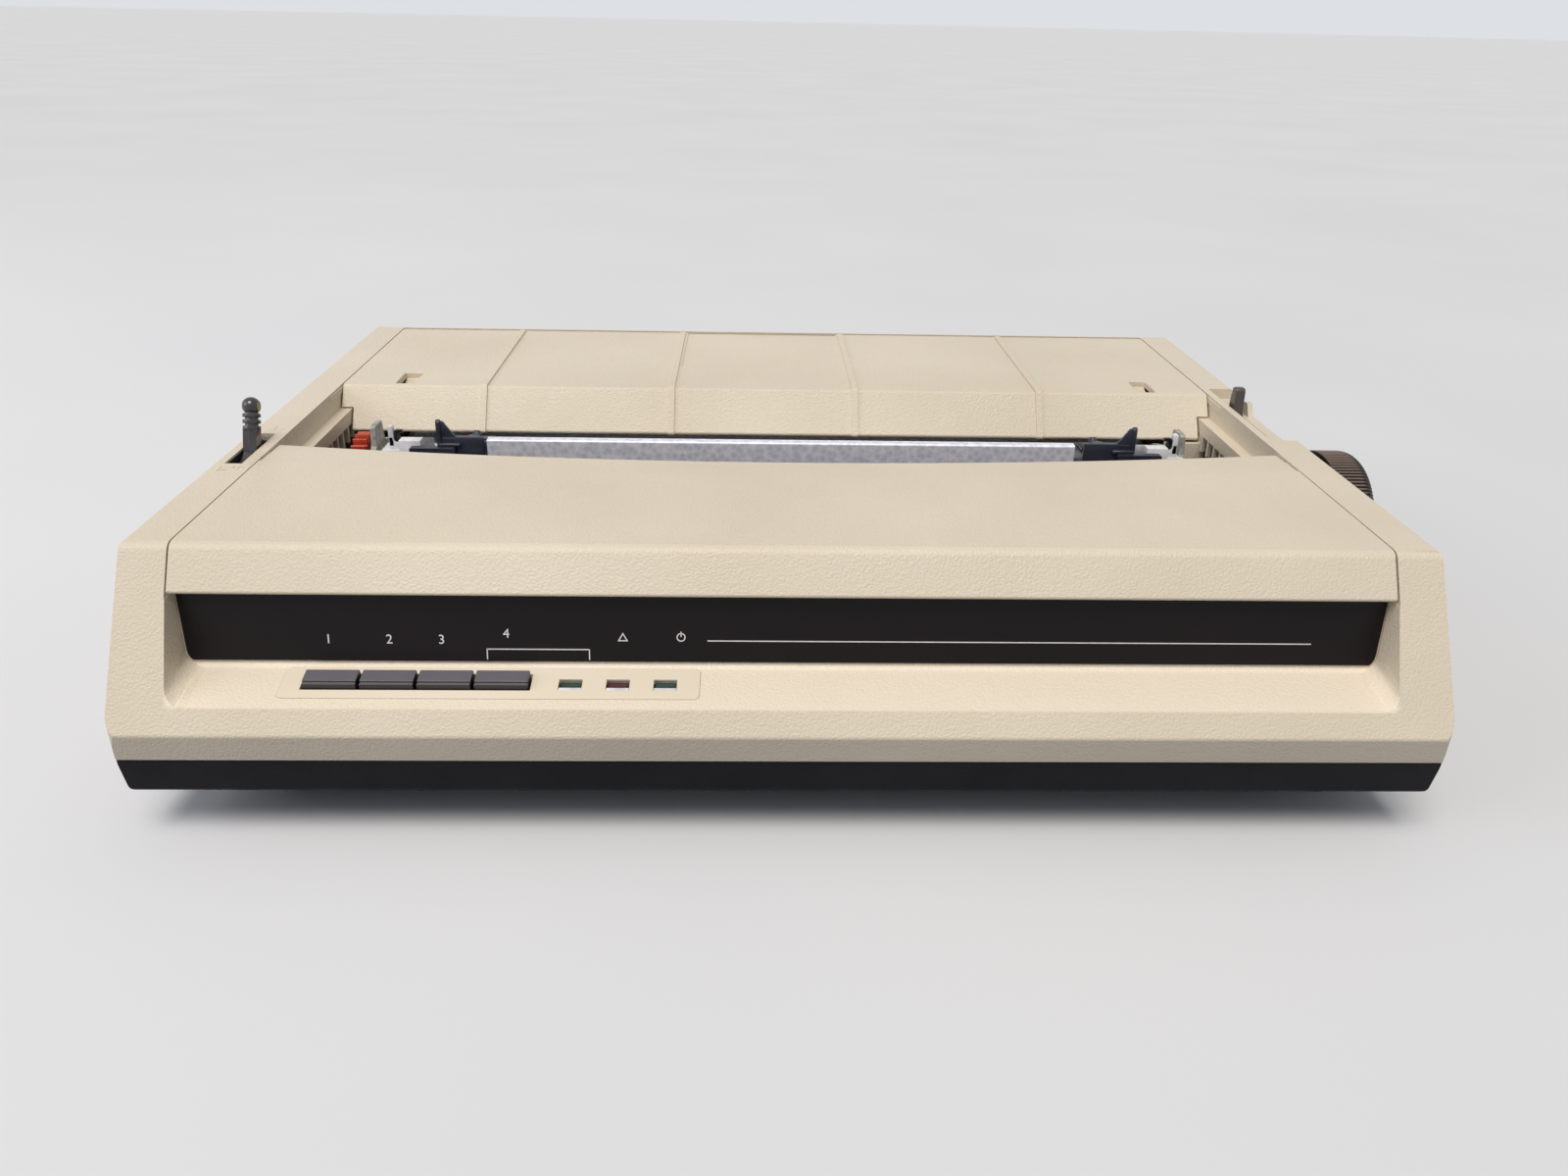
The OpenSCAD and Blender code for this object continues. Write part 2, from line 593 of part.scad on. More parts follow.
module paper_guide_bar() placed() color("#BEC0C3") {
    across(2 * bar_hw) polygon(rounded([[bar_y, 63, 0], [bar_y, bar_top, 0.8], [bar_y + 4, bar_top, 0.8],
        [bar_y + 4, bar_top - 3.8, 0], [bar_y + 3, bar_top - 3.8, 0], [bar_y + 3, bar_top - 1, 0],
        [bar_y + 1, bar_top - 1, 0], [bar_y + 1, 63, 0]], 3));
    // arms that carry the bar on the side plates
    both_sides() box([bar_hw - 6, bar_y, 63], [frame_in, bar_y + 1, 67]);
}

module bush(p, bore, r, s) difference() {
    union() {
        bar_x(p, r, s < 0 ? -frame_in - frame_t : frame_in, s < 0 ? -frame_in : frame_in + frame_t);
        bar_x(p, r + 1.5, s < 0 ? -frame_in : frame_in - 2, s < 0 ? -frame_in + 2 : frame_in);
    }
    bar_x(p, bore, -200, 200);
}
module shaft_bushes() placed() color("#E9E6DC") for (s = [-1, 1]) {
    bush(platen_axis, 4 + snug, 8, s);
    bush(tractor_axis, 3 + snug, 6, s);
}

// ---- Platen ----
module platen_roller() placed() color("#1E1E20") difference() {
    bar_x(platen_axis, platen_r, -platen_l / 2, platen_l / 2);
    bar_x(platen_axis, 4, -platen_l, platen_l);
}
module platen_shaft() placed() color("#C9CBCE") {
    bar_x(platen_axis, 4, -frame_in - 13, knob_end_x - 4);
    both_sides() bar_x(platen_axis, 5.5, frame_in - 4.3, frame_in - 2.3);
}
module spur_gear(p, teeth, phase, bore, x, w) across(w, x) translate(p) difference() {
    polygon(gear_outline(teeth, phase));
    circle(bore);
}
module platen_gear() placed() color("#E6E1D3") {
    spur_gear(platen_axis, platen_teeth, platen_phase, 4, gear_x, gear_w);
    difference() {
        bar_x(platen_axis, 7, gear_x + gear_w / 2 - 0.5, gear_x + gear_w / 2 + 1.4);
        bar_x(platen_axis, 4, -200, 0);
    }
}
module platen_knob() placed() color("#2C2522")
    translate([0, platen_axis[0], platen_axis[1]]) rotate([0, 90, 0]) difference() {
    rotate_extrude($fn = 96) polygon(concat([[0, knob_end_x], [0, case_hw + 0.6],
        [knob_r - 0.8, case_hw + 0.6], [knob_r, case_hw + 1.4]],
        [for (a = [0:9:90]) [knob_r - 6 + 6 * cos(a), knob_end_x - 6 + 6 * sin(a)]]));
    translate([0, 0, 170]) cylinder(r = 4, h = knob_end_x - 4 - 170);
    // grip grooves round the rim
    for (i = [0:knob_ridges - 1]) rotate([0, 0, i * 360 / knob_ridges])
        translate([knob_r + 0.3, 0, 170]) cylinder(r = 0.8, h = 30, $fn = 16);
}

// ---- Gear train and feed motor ----
module idler_gear() placed() color("#DCD6C6")
    spur_gear(idler_axis, idler_teeth, idler_phase, 3 + snug, gear_x, gear_w);
module tractor_gear() placed() color("#C8452B") {
    spur_gear(tractor_axis, tractor_teeth, tractor_phase, 3, gear_x, gear_w);
    difference() {
        bar_x(tractor_axis, 5.5, gear_x + gear_w / 2 - 0.5, gear_x + gear_w / 2 + 1.4);
        bar_x(tractor_axis, 3, -200, 0);
    }
}
module feed_pinion() placed() color("#C9A24A")
    spur_gear(pinion_axis, pinion_teeth, pinion_phase, 2 + snug, gear_x, gear_w);
module feed_motor() placed() {
    color("#8B8D90") {
        bar_x(pinion_axis, 20, -frame_in + 1.6, -frame_in + 21);
        across(1.6, -frame_in + 0.8) translate(pinion_axis) {
            for (y = [-1, 1]) translate([y * 24, 0]) circle(4);
            square([48, 8], center = true);
        }
        bar_x(pinion_axis, 5, -frame_in - 1.6, -frame_in + 2);
    }
    color("#C9CBCE") bar_x(pinion_axis, 2, -155.5, -frame_in - 1);
}

// ---- Tractors ----
module tractor_drive_shaft() placed() color("#C9CBCE") {
    across(2 * frame_in - 6) translate(tractor_axis) square(6, center = true);
    bar_x(tractor_axis, 3, -frame_in - 11, -frame_in + 3.5);
    bar_x(tractor_axis, 3, frame_in - 3.5, frame_in + 4);
}
module tractor_guide_shaft() placed() color("#C9CBCE")
    bar_x(tractor_guide_axis, 3, -frame_in - 3, frame_in + 3);

// Brackets that hold the two tractor shafts beside the side plates
module shaft_brackets() placed() color("#C6C7C4") both_sides() difference() {
    union() {
        lengthwise(-6, 12) polygon(rounded([[frame_in - 15.7, 53, 1], [frame_in - 8, 53, 0],
            [frame_in - 8, 75, 0.6], [frame_in - 15.7, 75, 0.6]], 3));
        box([frame_in - 9, -2, 53], [frame_in - 0.4, 12, 68.6]);
        // upright tab and the hook beside it
        lengthwise(-1.6, 0.6) polygon(rounded([[frame_in - 8.5, 67, 0], [frame_in - 3.4, 67, 0],
            [frame_in - 3.4, 77.4, 0.7], [frame_in - 5.2, 77.4, 0.7], [frame_in - 5.2, 71.5, 1],
            [frame_in - 8.5, 71.5, 0]], 3));
    }
    bar_x(tractor_axis, 7.6, frame_in - 3.1, frame_in + 1);
    bar_x(tractor_axis, 4.6, 0, frame_in);
}

// Housing of one tractor on the right side: drive pins at pin_x
module tractor() difference() {
    union() {
        across(tractor_w, pin_x - 8.4 + tractor_w / 2) polygon(rounded([[-6.5, 49, 2], [-6.5, 70.6, 1],
            [12, 70.6, 1], [20.5, 66, 2], [29, 63, 2], [29, 54, 3], [16, 49, 3]]));
        // locking tongue
        box([pin_x + 4, -9.4, 67.4], [pin_x + 9, -6.3, 70.6]);
        lengthwise(-9.4, -6.7) polygon(rounded([[pin_x + 3, 70.2, 0.9], [pin_x + 19, 70.2, 0.9],
            [pin_x + 19, 72.1, 0.9], [pin_x + 3, 72.1, 0.9]], 4));
        // hinge ears of the lid
        for (y = [-6.5, 10]) box([pin_x - 8.4, y, 68], [lid_hinge_x + 1.4, y + 2.5, 73.6]);
    }
    bar_x(tractor_axis, wheel_r + 2.6, pin_x - 2.6, pin_x + 2.6);
    box([pin_x - 2.6, 7, 55], [pin_x + 2.6, 7 + wheel_r + 2.6, 80]);
    bar_x(tractor_axis, 4.6, 0, 200);
    bar_x(tractor_guide_axis, 3 + snug, 0, 200);
    translate([lid_hinge_x, -10, lid_axis_z]) rotate([-90, 0, 0]) cylinder(r = 0.9 + snug, h = 30);
}
module on_left() { translate([tractors_at, 0, 0]) mirror([1, 0, 0]) children(); }
module on_right() { translate([tractors_at, 0, 0]) children(); }
module left_tractor() placed() color("#23262E") on_left() tractor();
module right_tractor() placed() color("#23262E") on_right() tractor();

// Wheel with six drive pins on the square shaft
module pin_wheel() {
    difference() {
        bar_x(tractor_axis, wheel_r, pin_x - 2, pin_x + 2);
        across(300) translate(tractor_axis) square(6.3, center = true);
    }
    for (i = [0:wheel_pins - 1]) translate([pin_x, tractor_axis[0], tractor_axis[1]])
        rotate([i * 360 / wheel_pins + 30, 0, 0]) translate([0, 0, wheel_r - 0.6])
            cylinder(r1 = 1.9, r2 = 1.2, h = 2.2);
}
module left_pin_wheel() placed() color("#34373F") on_left() pin_wheel();
module right_pin_wheel() placed() color("#34373F") on_right() pin_wheel();

// Lid that holds the paper on the pins, with its thumb fin at the outer edge
module tractor_lid() difference() {
    lid_out = pin_x + tractor_w - 8.5;
    union() {
        box([pin_x - 4.6, -6, 71.5], [pin_x + 3.8, 19, 74.2]);
        box([pin_x + 2, -6, 71.5], [lid_out - 0.2, 19, 73.4]);
        // front wall
        across(tractor_w - 4.3, pin_x - 4.6 + (tractor_w - 4.3) / 2) polygon(rounded([[-6.4, 71.5, 0],
            [-6.4, 75.2, 0.5], [-4.6, 75.2, 0.5], [-4.6, 71.5, 0]], 3));
        // web and flange of the fin
        lengthwise(-6.1, -4.9) polygon([[pin_x + 3, 74], [pin_x + 7.4, 79.8], [lid_out - 0.7, 79.8],
            [lid_out - 0.7, 72]]);
        lengthwise(-6.3, 1.5) polygon(rounded([[lid_out - 1.6, 72.4, 0], [lid_out - 1.6, 80.4, 0.6],
            [lid_out, 80.4, 0.6], [lid_out, 72.4, 0]], 3));
        translate([lid_hinge_x, -3.8, lid_axis_z]) rotate([-90, 0, 0]) cylinder(r = 1.6, h = 13.6);
        box([lid_hinge_x, -3.4, 71.8], [pin_x - 4, 9.4, lid_axis_z + 1.2]);
        translate([lid_hinge_x, -6.5, lid_axis_z]) rotate([-90, 0, 0]) cylinder(r = 0.9, h = 19);
    }
    box([pin_x - 2.6, -7, 71], [pin_x + 2.6, 16, 73.4]);
}
module left_tractor_lid() placed() color("#1F222A") on_left() tractor_lid();
module right_tractor_lid() placed() color("#1F222A") on_right() tractor_lid();

// ---- Pressure rollers under the platen ----
roller_xs = [-72, 0, 72];
module pressure_arm() placed() color("#A9ABAE") {
    bar_x(arm_axis, 2.5, -frame_in - 3, frame_in + 3);
    for (x = roller_xs, s = [-1, 1]) across(1.6, x + s * 11.4) difference() {
        polygon(rounded([[arm_axis[0] - 5, arm_axis[1] - 4, 2], [arm_axis[0] - 5, arm_axis[1] + 5, 2],
            [roller_axis[0] - 3, roller_axis[1] + 3.5, 2], [roller_axis[0] + 4, roller_axis[1] + 3.5, 2],
            [roller_axis[0] + 4, roller_axis[1] - 4, 2], [arm_axis[0] + 5, arm_axis[1] - 4, 2]], 3));
        translate(roller_axis) circle(1.5 + snug);
    }
}
module pressure_rollers() placed() {
    color("#C9CBCE") for (x = roller_xs) bar_x(roller_axis, 1.5, x - 13, x + 13);
    color("#27272A") for (x = roller_xs) bar_x(roller_axis, roller_r, x - 10, x + 10);
}

// ---- Carriage ----
module carriage() placed() color("#2E3033") difference() {
    union() {
        bar_x(guide_axis, 9, -20, 20);
        box([-21, -106, 48.4], [21, -62, 51.6]);
        box([-12, -106, 38.3], [12, -99, 50]);
        // clamp round the rear run of the belt
        box([-8, belt_y + 3.5, belt_z - 1], [8, belt_y + belt_in + belt_t + 2.4, 50]);
        for (x = [-21, 18.6]) box([x, -100, 50], [x + 2.4, -64, 53.6]);
    }
    bar_x(guide_axis, guide_shaft_r + snug, -30, 30);
    box([-18.6, -110, 51.6], [18.6, -60, 60]);
    box([-30, belt_y + belt_in - 0.3, belt_z - 2],
        [30, belt_y + belt_in + belt_t + 0.3, belt_z + belt_w + 0.3]);
}

module print_head() placed() color("#55585C") {
    translate([0, -62, head_z]) rotate([90, 0, 0]) cylinder(r = 11.5, h = 18);
    intersection() {
        across(40) polygon([[-62.5, 51.7], [-62.5, 73], [-58, 71], [nose_y, 61], [nose_y, 53.4]]);
        linear_extrude(100) polygon([[-12, -62.5], [12, -62.5], [3, nose_y], [-3, nose_y]]);
    }
    box([-11, -80, 51.7], [11, -62, 57]);
}

module head_heatsink() placed() color("#9A9DA1") translate([0, -80, head_z]) rotate([90, 0, 0]) {
    cylinder(r = 7, h = 15.8);
    for (i = [0:5]) translate([0, 0, i * 2.9]) cylinder(r = 11.3, h = 1.3);
}

module ribbon_cartridge() placed() translate([0, 0, cartridge_z]) {
    color("#1F2023") difference() {
        linear_extrude(13) polygon(rounded([[-cartridge_hw, -106, 5], [cartridge_hw, -106, 5],
            [cartridge_hw, -66, 5], [29, -58, 2], [26, -47.6, 1], [22.5, -47.6, 1], [21.9, -58, 1],
            [21.9, -66, 1], [12.9, -66, 1], [12.9, -98, 1], [-12.9, -98, 1], [-12.9, -66, 1],
            [-21.9, -66, 1], [-21.9, -58, 1], [-22.5, -47.6, 1], [-26, -47.6, 1], [-29, -58, 2],
            [-cartridge_hw, -66, 5]], 3));
        translate([-28, -82, 5]) cylinder(r = 2 + snug, h = 20);
    }
    color("#101012") difference() {
        box([-25.5, -47.6, 0.5], [25.5, -46.0, 9]);
        box([-22.6, -48, 0], [22.6, -46.2, 10]);
    }
}

module ribbon_knob() placed() color("#34363B") translate([-28, -82, cartridge_z]) {
    translate([0, 0, 6]) cylinder(r = 2, h = 8);
    difference() {
        translate([0, 0, 13.4]) cylinder(r = 6, h = 4.6);
        for (i = [0:11]) rotate([0, 0, i * 30]) translate([6.3, 0, 13]) cylinder(r = 0.8, h = 6, $fn = 16);
    }
}

module carriage_motor() placed() translate([-pulley_x, belt_y, 0]) {
    color("#8B8D90") {
        translate([0, 0, 8.6]) cylinder(r = 18.8, h = 20);
        translate([0, 0, 28]) cylinder(r = 3.8, h = 2);
    }
    color("#C9CBCE") translate([0, 0, 29]) cylinder(r = 2, h = 10);
}

module pulley(bore) difference() {
    union() {
        translate([0, 0, belt_z - 0.9]) cylinder(r = pulley_r + 1.8, h = 0.7);
        translate([0, 0, belt_z - 0.9]) cylinder(r = pulley_r, h = belt_w + 1.8);
        translate([0, 0, belt_z + belt_w + 0.2]) cylinder(r = pulley_r + 1.8, h = 0.7);
    }
    translate([0, 0, belt_z - 3]) cylinder(r = bore, h = 20);
}
module drive_pulley() placed() color("#D0B25A") translate([-pulley_x, belt_y, 0]) pulley(2 + snug);
module idler_pulley() placed() color("#E4E0D6") translate([pulley_x, belt_y, 0]) pulley(2.5 + snug);

module belt_loop(r) {
    square([2 * pulley_x, 2 * r], center = true);
    for (s = [-1, 1]) translate([s * pulley_x, 0]) circle(r);
}
module timing_belt() placed() color("#1B1B1D")
    translate([0, belt_y, belt_z]) linear_extrude(belt_w) difference() {
    belt_loop(belt_in + belt_t);
    belt_loop(belt_in);
}

// ---- Levers ----
module gap_lever() placed() color("#3B3735") {
    x = -open_hw - 6.6;
    across(3.8, x) difference() {
        union() {
            translate(guide_axis) circle(7);
            polygon([[-75, 51], [-69, 39], [-44, 47], [-50, 56]]);
            polygon([[-50, 56], [-44, 47], [-35.5, 62], [-33, 70], [-39.5, 70]]);
            // quadrant under the slot
            translate([-35, 60]) polygon([[-3.5, 4], [2, 4], [7, 15.5], [-8, 15.5], [-8, 8]]);
        }
        translate(guide_axis) circle(3);
    }
    // square shank, three rings and a ball with flat sides
    translate([x, -31.5, 80.9]) rotate([-22, 0, 0]) {
        translate([-2.2, -2, -16]) cube([4.4, 4, 20.6]);
        cylinder(r = 2.1, h = 11);
        for (i = [0:2]) translate([0, 0, 4.5 + i * 2]) cylinder(r = 2.8, h = 1.2);
        intersection() {
            translate([0, 0, 12.2]) sphere(r = 2.95);
            cube([4.8, 20, 60], center = true);
        }
    }
}

module release_lever() placed() color("#3B3735") {
    x0 = open_hw + 6;
    difference() {
        union() {
            bar_x(release_axis, 6, frame_in + frame_t + 1, x0 + 1.9);
            across(3.8, x0) polygon(rounded([[release_axis[0] - 5, release_axis[1], 0],
                [24.4, 78, 0], [25.2, case_h + 7.1, 1.6], [29.4, case_h + 7.1, 1.6], [29.4, 78, 0],
                [release_axis[0] + 6, release_axis[1], 0]]));
        }
        bar_x(release_axis, 3 + snug, 100, 200);
    }
}

// ---- Covers ----
bow_chord = open_hw;
function bow_r(sag) = (bow_chord ^ 2 + sag ^ 2) / (2 * sag);
crease_sag = 10;
crease_side_y = front_cover_rear_y - 18;

module access_cover() placed() color("#D8CCAE") {
    difference() {
        union() {
            // top plate, its rear edge bowed forwards
            difference() {
                box([-cover_hw, top_front_y + 2, case_h - 2.7], [cover_hw, front_cover_rear_y, case_h]);
                translate([0, front_cover_rear_y - front_cover_bow + bow_r(front_cover_bow), 0])
                    cylinder(r = bow_r(front_cover_bow), h = 200, $fn = 720);
            }
            // front face with its lip
            across(2 * cover_hw) polygon(rounded([[top_front_y + 0.2, case_h, 4],
                [front_y(lip_z), lip_z, 0.8],
                [front_y(lip_z) + 2.7, lip_z, 0.8], [top_front_y + 2.6, case_h - 2.7, 2],
                [top_front_y + 12, case_h - 2.7, 0], [top_front_y + 12, case_h, 0]]));
        }
        // rear strip falls gently away from the crease
        translate([0, crease_side_y - crease_sag + bow_r(crease_sag), case_h])
            rotate_extrude($fn = 720) polygon([[bow_r(crease_sag), -0.35], [bow_r(crease_sag), 5],
                [bow_r(crease_sag) - 40, 5], [bow_r(crease_sag) - 40, -1.9]]);
    }
    both_sides() {
        box([cover_hw - wall, -106, ledge_z + 1], [cover_hw, -31, case_h - 2]);
        bar_x(access_axis, 2.3, cover_hw - wall, cover_hw);
        bar_x(access_axis, pin_r, cover_hw - 0.5, open_hw + wall - 0.3);
    }
    // stiffening ribs under the top
    for (x = [-110, 0, 110]) box([x - 0.8, -104, case_h - 4], [x + 0.8, -60, case_h - 2.5]);
}

lip_y = 30;
lip_low = case_h - 15.5;
cover_ribs = [-114, -42, 29, 101];
module rear_skin(t, w) across(w) polygon(rounded([[rear_edge_y, case_h + t, 0],
    [rear_cover_crease_y - t * 0.7, case_h + t, 1.6], [lip_y - t, lip_low, 0.9],
    [lip_y + 2.4, lip_low - 0.2, 0.6],
    [rear_cover_crease_y + 1.4, case_h - 2.6, 1], [rear_edge_y, case_h - 2.6, 0]]));

module rear_cover() placed() color("#D6C9A9") {
    difference() {
        union() {
            rear_skin(0, 2 * cover_hw);
            for (x = cover_ribs) intersection() {
                translate([x, 0, 0]) rear_skin(rib_h, 2.4);
                box([-200, 0, 0], [200, rear_edge_y - 2, 200]);
            }
        }
        // narrower below the ledges
        both_sides() box([ledge_in - 0.5, 20, 50], [cover_hw + 5, 60, ledge_z + 0.4]);
        for (s = [-1, 1]) {
            box([s * 145 - 3.5, 43.5, case_h - 5], [s * 145 + 3.5, 58.5, case_h + 2]);
        }
        // shallow place for a label
        box([-41 + 1.3, 73, case_h - 0.5], [27, rear_edge_y + 1, case_h + 0.3]);
    }
    // ramps under the two slots
    for (s = [-1, 1]) across(7, s * 145) polygon([[58.5, case_h - 2.6], [60.5, case_h - 2.6],
        [60.5, case_h - 5.4], [49, case_h - 5.4], [49, case_h - 4.6]]);
    both_sides() {
        box([cover_hw - wall, 44, ledge_z + 0.8], [cover_hw, 125, case_h - 2]);
        bar_x(rear_axis, 2.2, cover_hw - wall, cover_hw);
        bar_x(rear_axis, pin_r, cover_hw - 0.5, open_hw + wall - 0.3);
    }
}

lower_case();
upper_case();
front_panel();
button_plate();
button_1();
button_2();
button_3();
button_4();
lamp_lenses();
operator_board();
main_board();
board_components();
transformer();
power_inlet();
interface_connector();
switch_housing();
switch_rocker();
left_side_frame();
right_side_frame();
front_rail();
paper_deck();
guide_shaft();
paper_chute();
paper_guide_bar();
shaft_bushes();
platen_roller();
platen_shaft();
platen_gear();
platen_knob();
idler_gear();
feed_motor();
feed_pinion();
tractor_drive_shaft();
tractor_gear();
tractor_guide_shaft();
shaft_brackets();
left_tractor();
right_tractor();
left_pin_wheel();
right_pin_wheel();
left_tractor_lid();
right_tractor_lid();
pressure_arm();
pressure_rollers();
carriage();
print_head();
head_heatsink();
ribbon_cartridge();
ribbon_knob();
carriage_motor();
drive_pulley();
idler_pulley();
timing_belt();
gap_lever();
release_lever();
access_cover();
rear_cover();
rubber_feet();
screws();
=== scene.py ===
"""Desktop dot matrix printer: finishes, softened mouldings and fine details."""
import json
import math

import bmesh
import bpy
import numpy as np
from mathutils import Matrix, Vector

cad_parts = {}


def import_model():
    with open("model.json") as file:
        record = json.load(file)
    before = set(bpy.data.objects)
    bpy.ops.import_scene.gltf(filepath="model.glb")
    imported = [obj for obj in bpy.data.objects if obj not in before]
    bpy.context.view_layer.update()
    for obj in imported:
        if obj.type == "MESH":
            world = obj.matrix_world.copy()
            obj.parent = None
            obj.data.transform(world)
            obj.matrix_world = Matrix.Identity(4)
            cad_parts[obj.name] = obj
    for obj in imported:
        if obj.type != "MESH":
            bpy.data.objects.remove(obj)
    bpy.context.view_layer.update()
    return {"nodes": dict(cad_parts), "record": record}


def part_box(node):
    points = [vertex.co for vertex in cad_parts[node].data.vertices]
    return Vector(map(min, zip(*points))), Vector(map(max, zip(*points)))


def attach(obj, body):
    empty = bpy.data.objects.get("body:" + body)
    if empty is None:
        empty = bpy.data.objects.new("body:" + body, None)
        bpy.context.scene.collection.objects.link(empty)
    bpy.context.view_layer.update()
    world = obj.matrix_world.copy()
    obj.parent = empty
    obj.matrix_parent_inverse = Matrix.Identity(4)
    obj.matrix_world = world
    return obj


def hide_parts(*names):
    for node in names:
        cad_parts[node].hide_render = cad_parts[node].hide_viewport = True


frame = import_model()

MM = 0.001
SHIFT_X = -7.0  # the case sits left of the origin because of the knob
LAMP_X = (-60.6, -47.6, -34.6)  # middles of the three lamps
LAMP_ZONE = 6 * MM  # how far from its middle the red lamp's colour reaches
PLATEN_YZ = (-29.0, 57.0)  # axis of the platen and its knob
KNOB_R = 23.3  # to the crests of its ridges
MOST = (0.3, 0.7)  # where most values of a pattern lie


# ---------------------------------------------------------------- helpers
def srgb(text):
    """Linear colour of an sRGB hex value such as D8CCAE."""
    parts = [int(text[i:i + 2], 16) / 255 for i in (0, 2, 4)]
    linear = [c / 12.92 if c <= 0.04045 else ((c + 0.055) / 1.055) ** 2.4 for c in parts]
    return (*linear, 1.0)


def at(x, y, z):
    """A place in the case's own millimetres, as metres in the frame."""
    return Vector(((x + SHIFT_X) * MM, y * MM, z * MM))


def in_case(point):
    """A frame place in metres, as the case's own millimetres."""
    return Vector((point.x / MM - SHIFT_X, point.y / MM, point.z / MM))


def add(mat, kind, settings=None, inputs=None, **values):
    """Adds one node. An input takes a socket to link, a plain value or an sRGB hex colour."""
    node = mat.node_tree.nodes.new(kind)
    for key, value in (settings or {}).items():
        setattr(node, key, value)
    named = {key.replace("_", " "): value for key, value in values.items()}
    for key, value in {**(inputs or {}), **named}.items():
        if isinstance(value, bpy.types.NodeSocket):
            mat.node_tree.links.new(value, node.inputs[key])
        else:
            node.inputs[key].default_value = srgb(value) if isinstance(value, str) else value
    return node


def new_material(name):
    mat = bpy.data.materials.new(name)
    mat.use_nodes = True
    mat.node_tree.nodes.clear()
    return mat


def pattern(mat, size_mm, stretch=(1, 1, 1), kind="ShaderNodeTexNoise", settings=None, **values):
    """Marks about size_mm across, stretched along the axes: a noise's value, a cell's distance."""
    where = add(mat, "ShaderNodeTexCoord")
    scale = tuple(1 / (size_mm * MM * s) for s in stretch)
    mapped = add(mat, "ShaderNodeMapping", Vector=where.outputs["Object"], Scale=scale)
    marks = add(mat, kind, settings, Vector=mapped.outputs["Vector"], Scale=1.0, **values)
    return marks.outputs[0]


def toned(mat, value, dark, light, low=MOST[0], high=MOST[1]):
    """Colour that goes from dark to light as a value goes from low to high."""
    share = add(mat, "ShaderNodeMapRange", Value=value, From_Min=low, From_Max=high)
    return add(mat, "ShaderNodeMix", {"data_type": "RGBA"}, Factor=share.outputs["Result"],
               A=dark, B=light).outputs["Result"]


def inside(mat, low, high, fade_mm=0.9):
    """1 between two corners in the case's millimetres and 0 outside, fading at the sides."""
    where = add(mat, "ShaderNodeTexCoord")
    axes = add(mat, "ShaderNodeSeparateXYZ", Vector=where.outputs["Object"])
    half = fade_mm / 2 * MM
    total = None
    for axis, start, end in zip("XYZ", at(*low), at(*high)):
        for side, first, last in ((start, 0, 1), (end, 1, 0)):
            ramp = add(mat, "ShaderNodeMapRange", Value=axes.outputs[axis], From_Min=side - half,
                       From_Max=side + half, To_Min=first, To_Max=last).outputs["Result"]
            if total is None:
                total = ramp
            else:
                total = add(mat, "ShaderNodeMath", {"operation": "MULTIPLY"},
                            {0: total, 1: ramp}).outputs["Value"]
    return total


def seen_rays(mat):
    """1 for what the camera, a reflection or a clear piece looks at, 0 for light that bounces."""
    path = add(mat, "ShaderNodeLightPath")
    seen = path.outputs["Is Camera Ray"]
    for ray in ("Is Glossy Ray", "Is Transmission Ray"):
        seen = add(mat, "ShaderNodeMath", {"operation": "MAXIMUM"},
                   {0: seen, 1: path.outputs[ray]}).outputs[0]
    return seen


def finish_material(mat, color, rough, relief=None, **values):
    """Ends a material with its shader.

    rough is a number or (pattern, lowest, highest); relief is (pattern, depth in millimetres).
    """
    inputs = {"Base Color": color, "Roughness": rough}
    if isinstance(rough, tuple):
        marks, lowest, highest = rough
        inputs["Roughness"] = add(mat, "ShaderNodeMapRange", Value=marks, From_Min=MOST[0],
                                  From_Max=MOST[1], To_Min=lowest,
                                  To_Max=highest).outputs["Result"]
    if relief:
        marks, depth_mm = relief
        inputs["Normal"] = add(mat, "ShaderNodeBump", Height=marks, Strength=1.0,
                               Distance=depth_mm * MM).outputs["Normal"]
    shader = add(mat, "ShaderNodeBsdfPrincipled", None, inputs, **values)
    add(mat, "ShaderNodeOutputMaterial", Surface=shader.outputs["BSDF"])
    return mat


# ---------------------------------------------------------------- materials
def moulded_abs(name, dark, light, grain_mm=0.9, depth_mm=0.05, rough=(0.42, 0.56), gloss=0.45,
                painted_sheen=None):
    """ABS moulded in a spark-eroded tool: pebbled skin, soft sheen, a little uneven ageing.

    The pebbles are drawn coarser than real ones, as coarse as they need to be to show.
    The last argument is (low corner, high corner, tone): a box painted a lighter tone, a painted
    sheen of light on the shelf.
    """
    mat = new_material(name)
    ageing = pattern(mat, size_mm=70, Detail=3)
    grain = pattern(mat, size_mm=grain_mm, Detail=2.5, Roughness=0.6)
    smudge = pattern(mat, size_mm=18, Detail=4)
    color = toned(mat, ageing, dark, light)
    # painted light: inside the box the colour turns to a lighter tone that stands in for the
    # shelf's sheen
    if painted_sheen:
        low, high, tone = painted_sheen
        color = add(mat, "ShaderNodeMix", {"data_type": "RGBA"}, Factor=inside(mat, low, high),
                    A=color, B=tone).outputs["Result"]
    return finish_material(mat, color, rough=(smudge, *rough), relief=(grain, depth_mm),
                           IOR=1.53, Specular_IOR_Level=gloss)


def satin_nylon(name, dark, light, gloss=0.5):
    """Glass-filled nylon: dense, dark, with a waxy sheen and faint flow marks."""
    mat = new_material(name)
    flow = pattern(mat, size_mm=6, stretch=(3, 1, 1), Detail=3)
    skin = pattern(mat, size_mm=0.5)
    return finish_material(mat, toned(mat, flow, dark, light), rough=(flow, 0.3, 0.42),
                           relief=(skin, 0.02), IOR=1.53, Specular_IOR_Level=gloss)


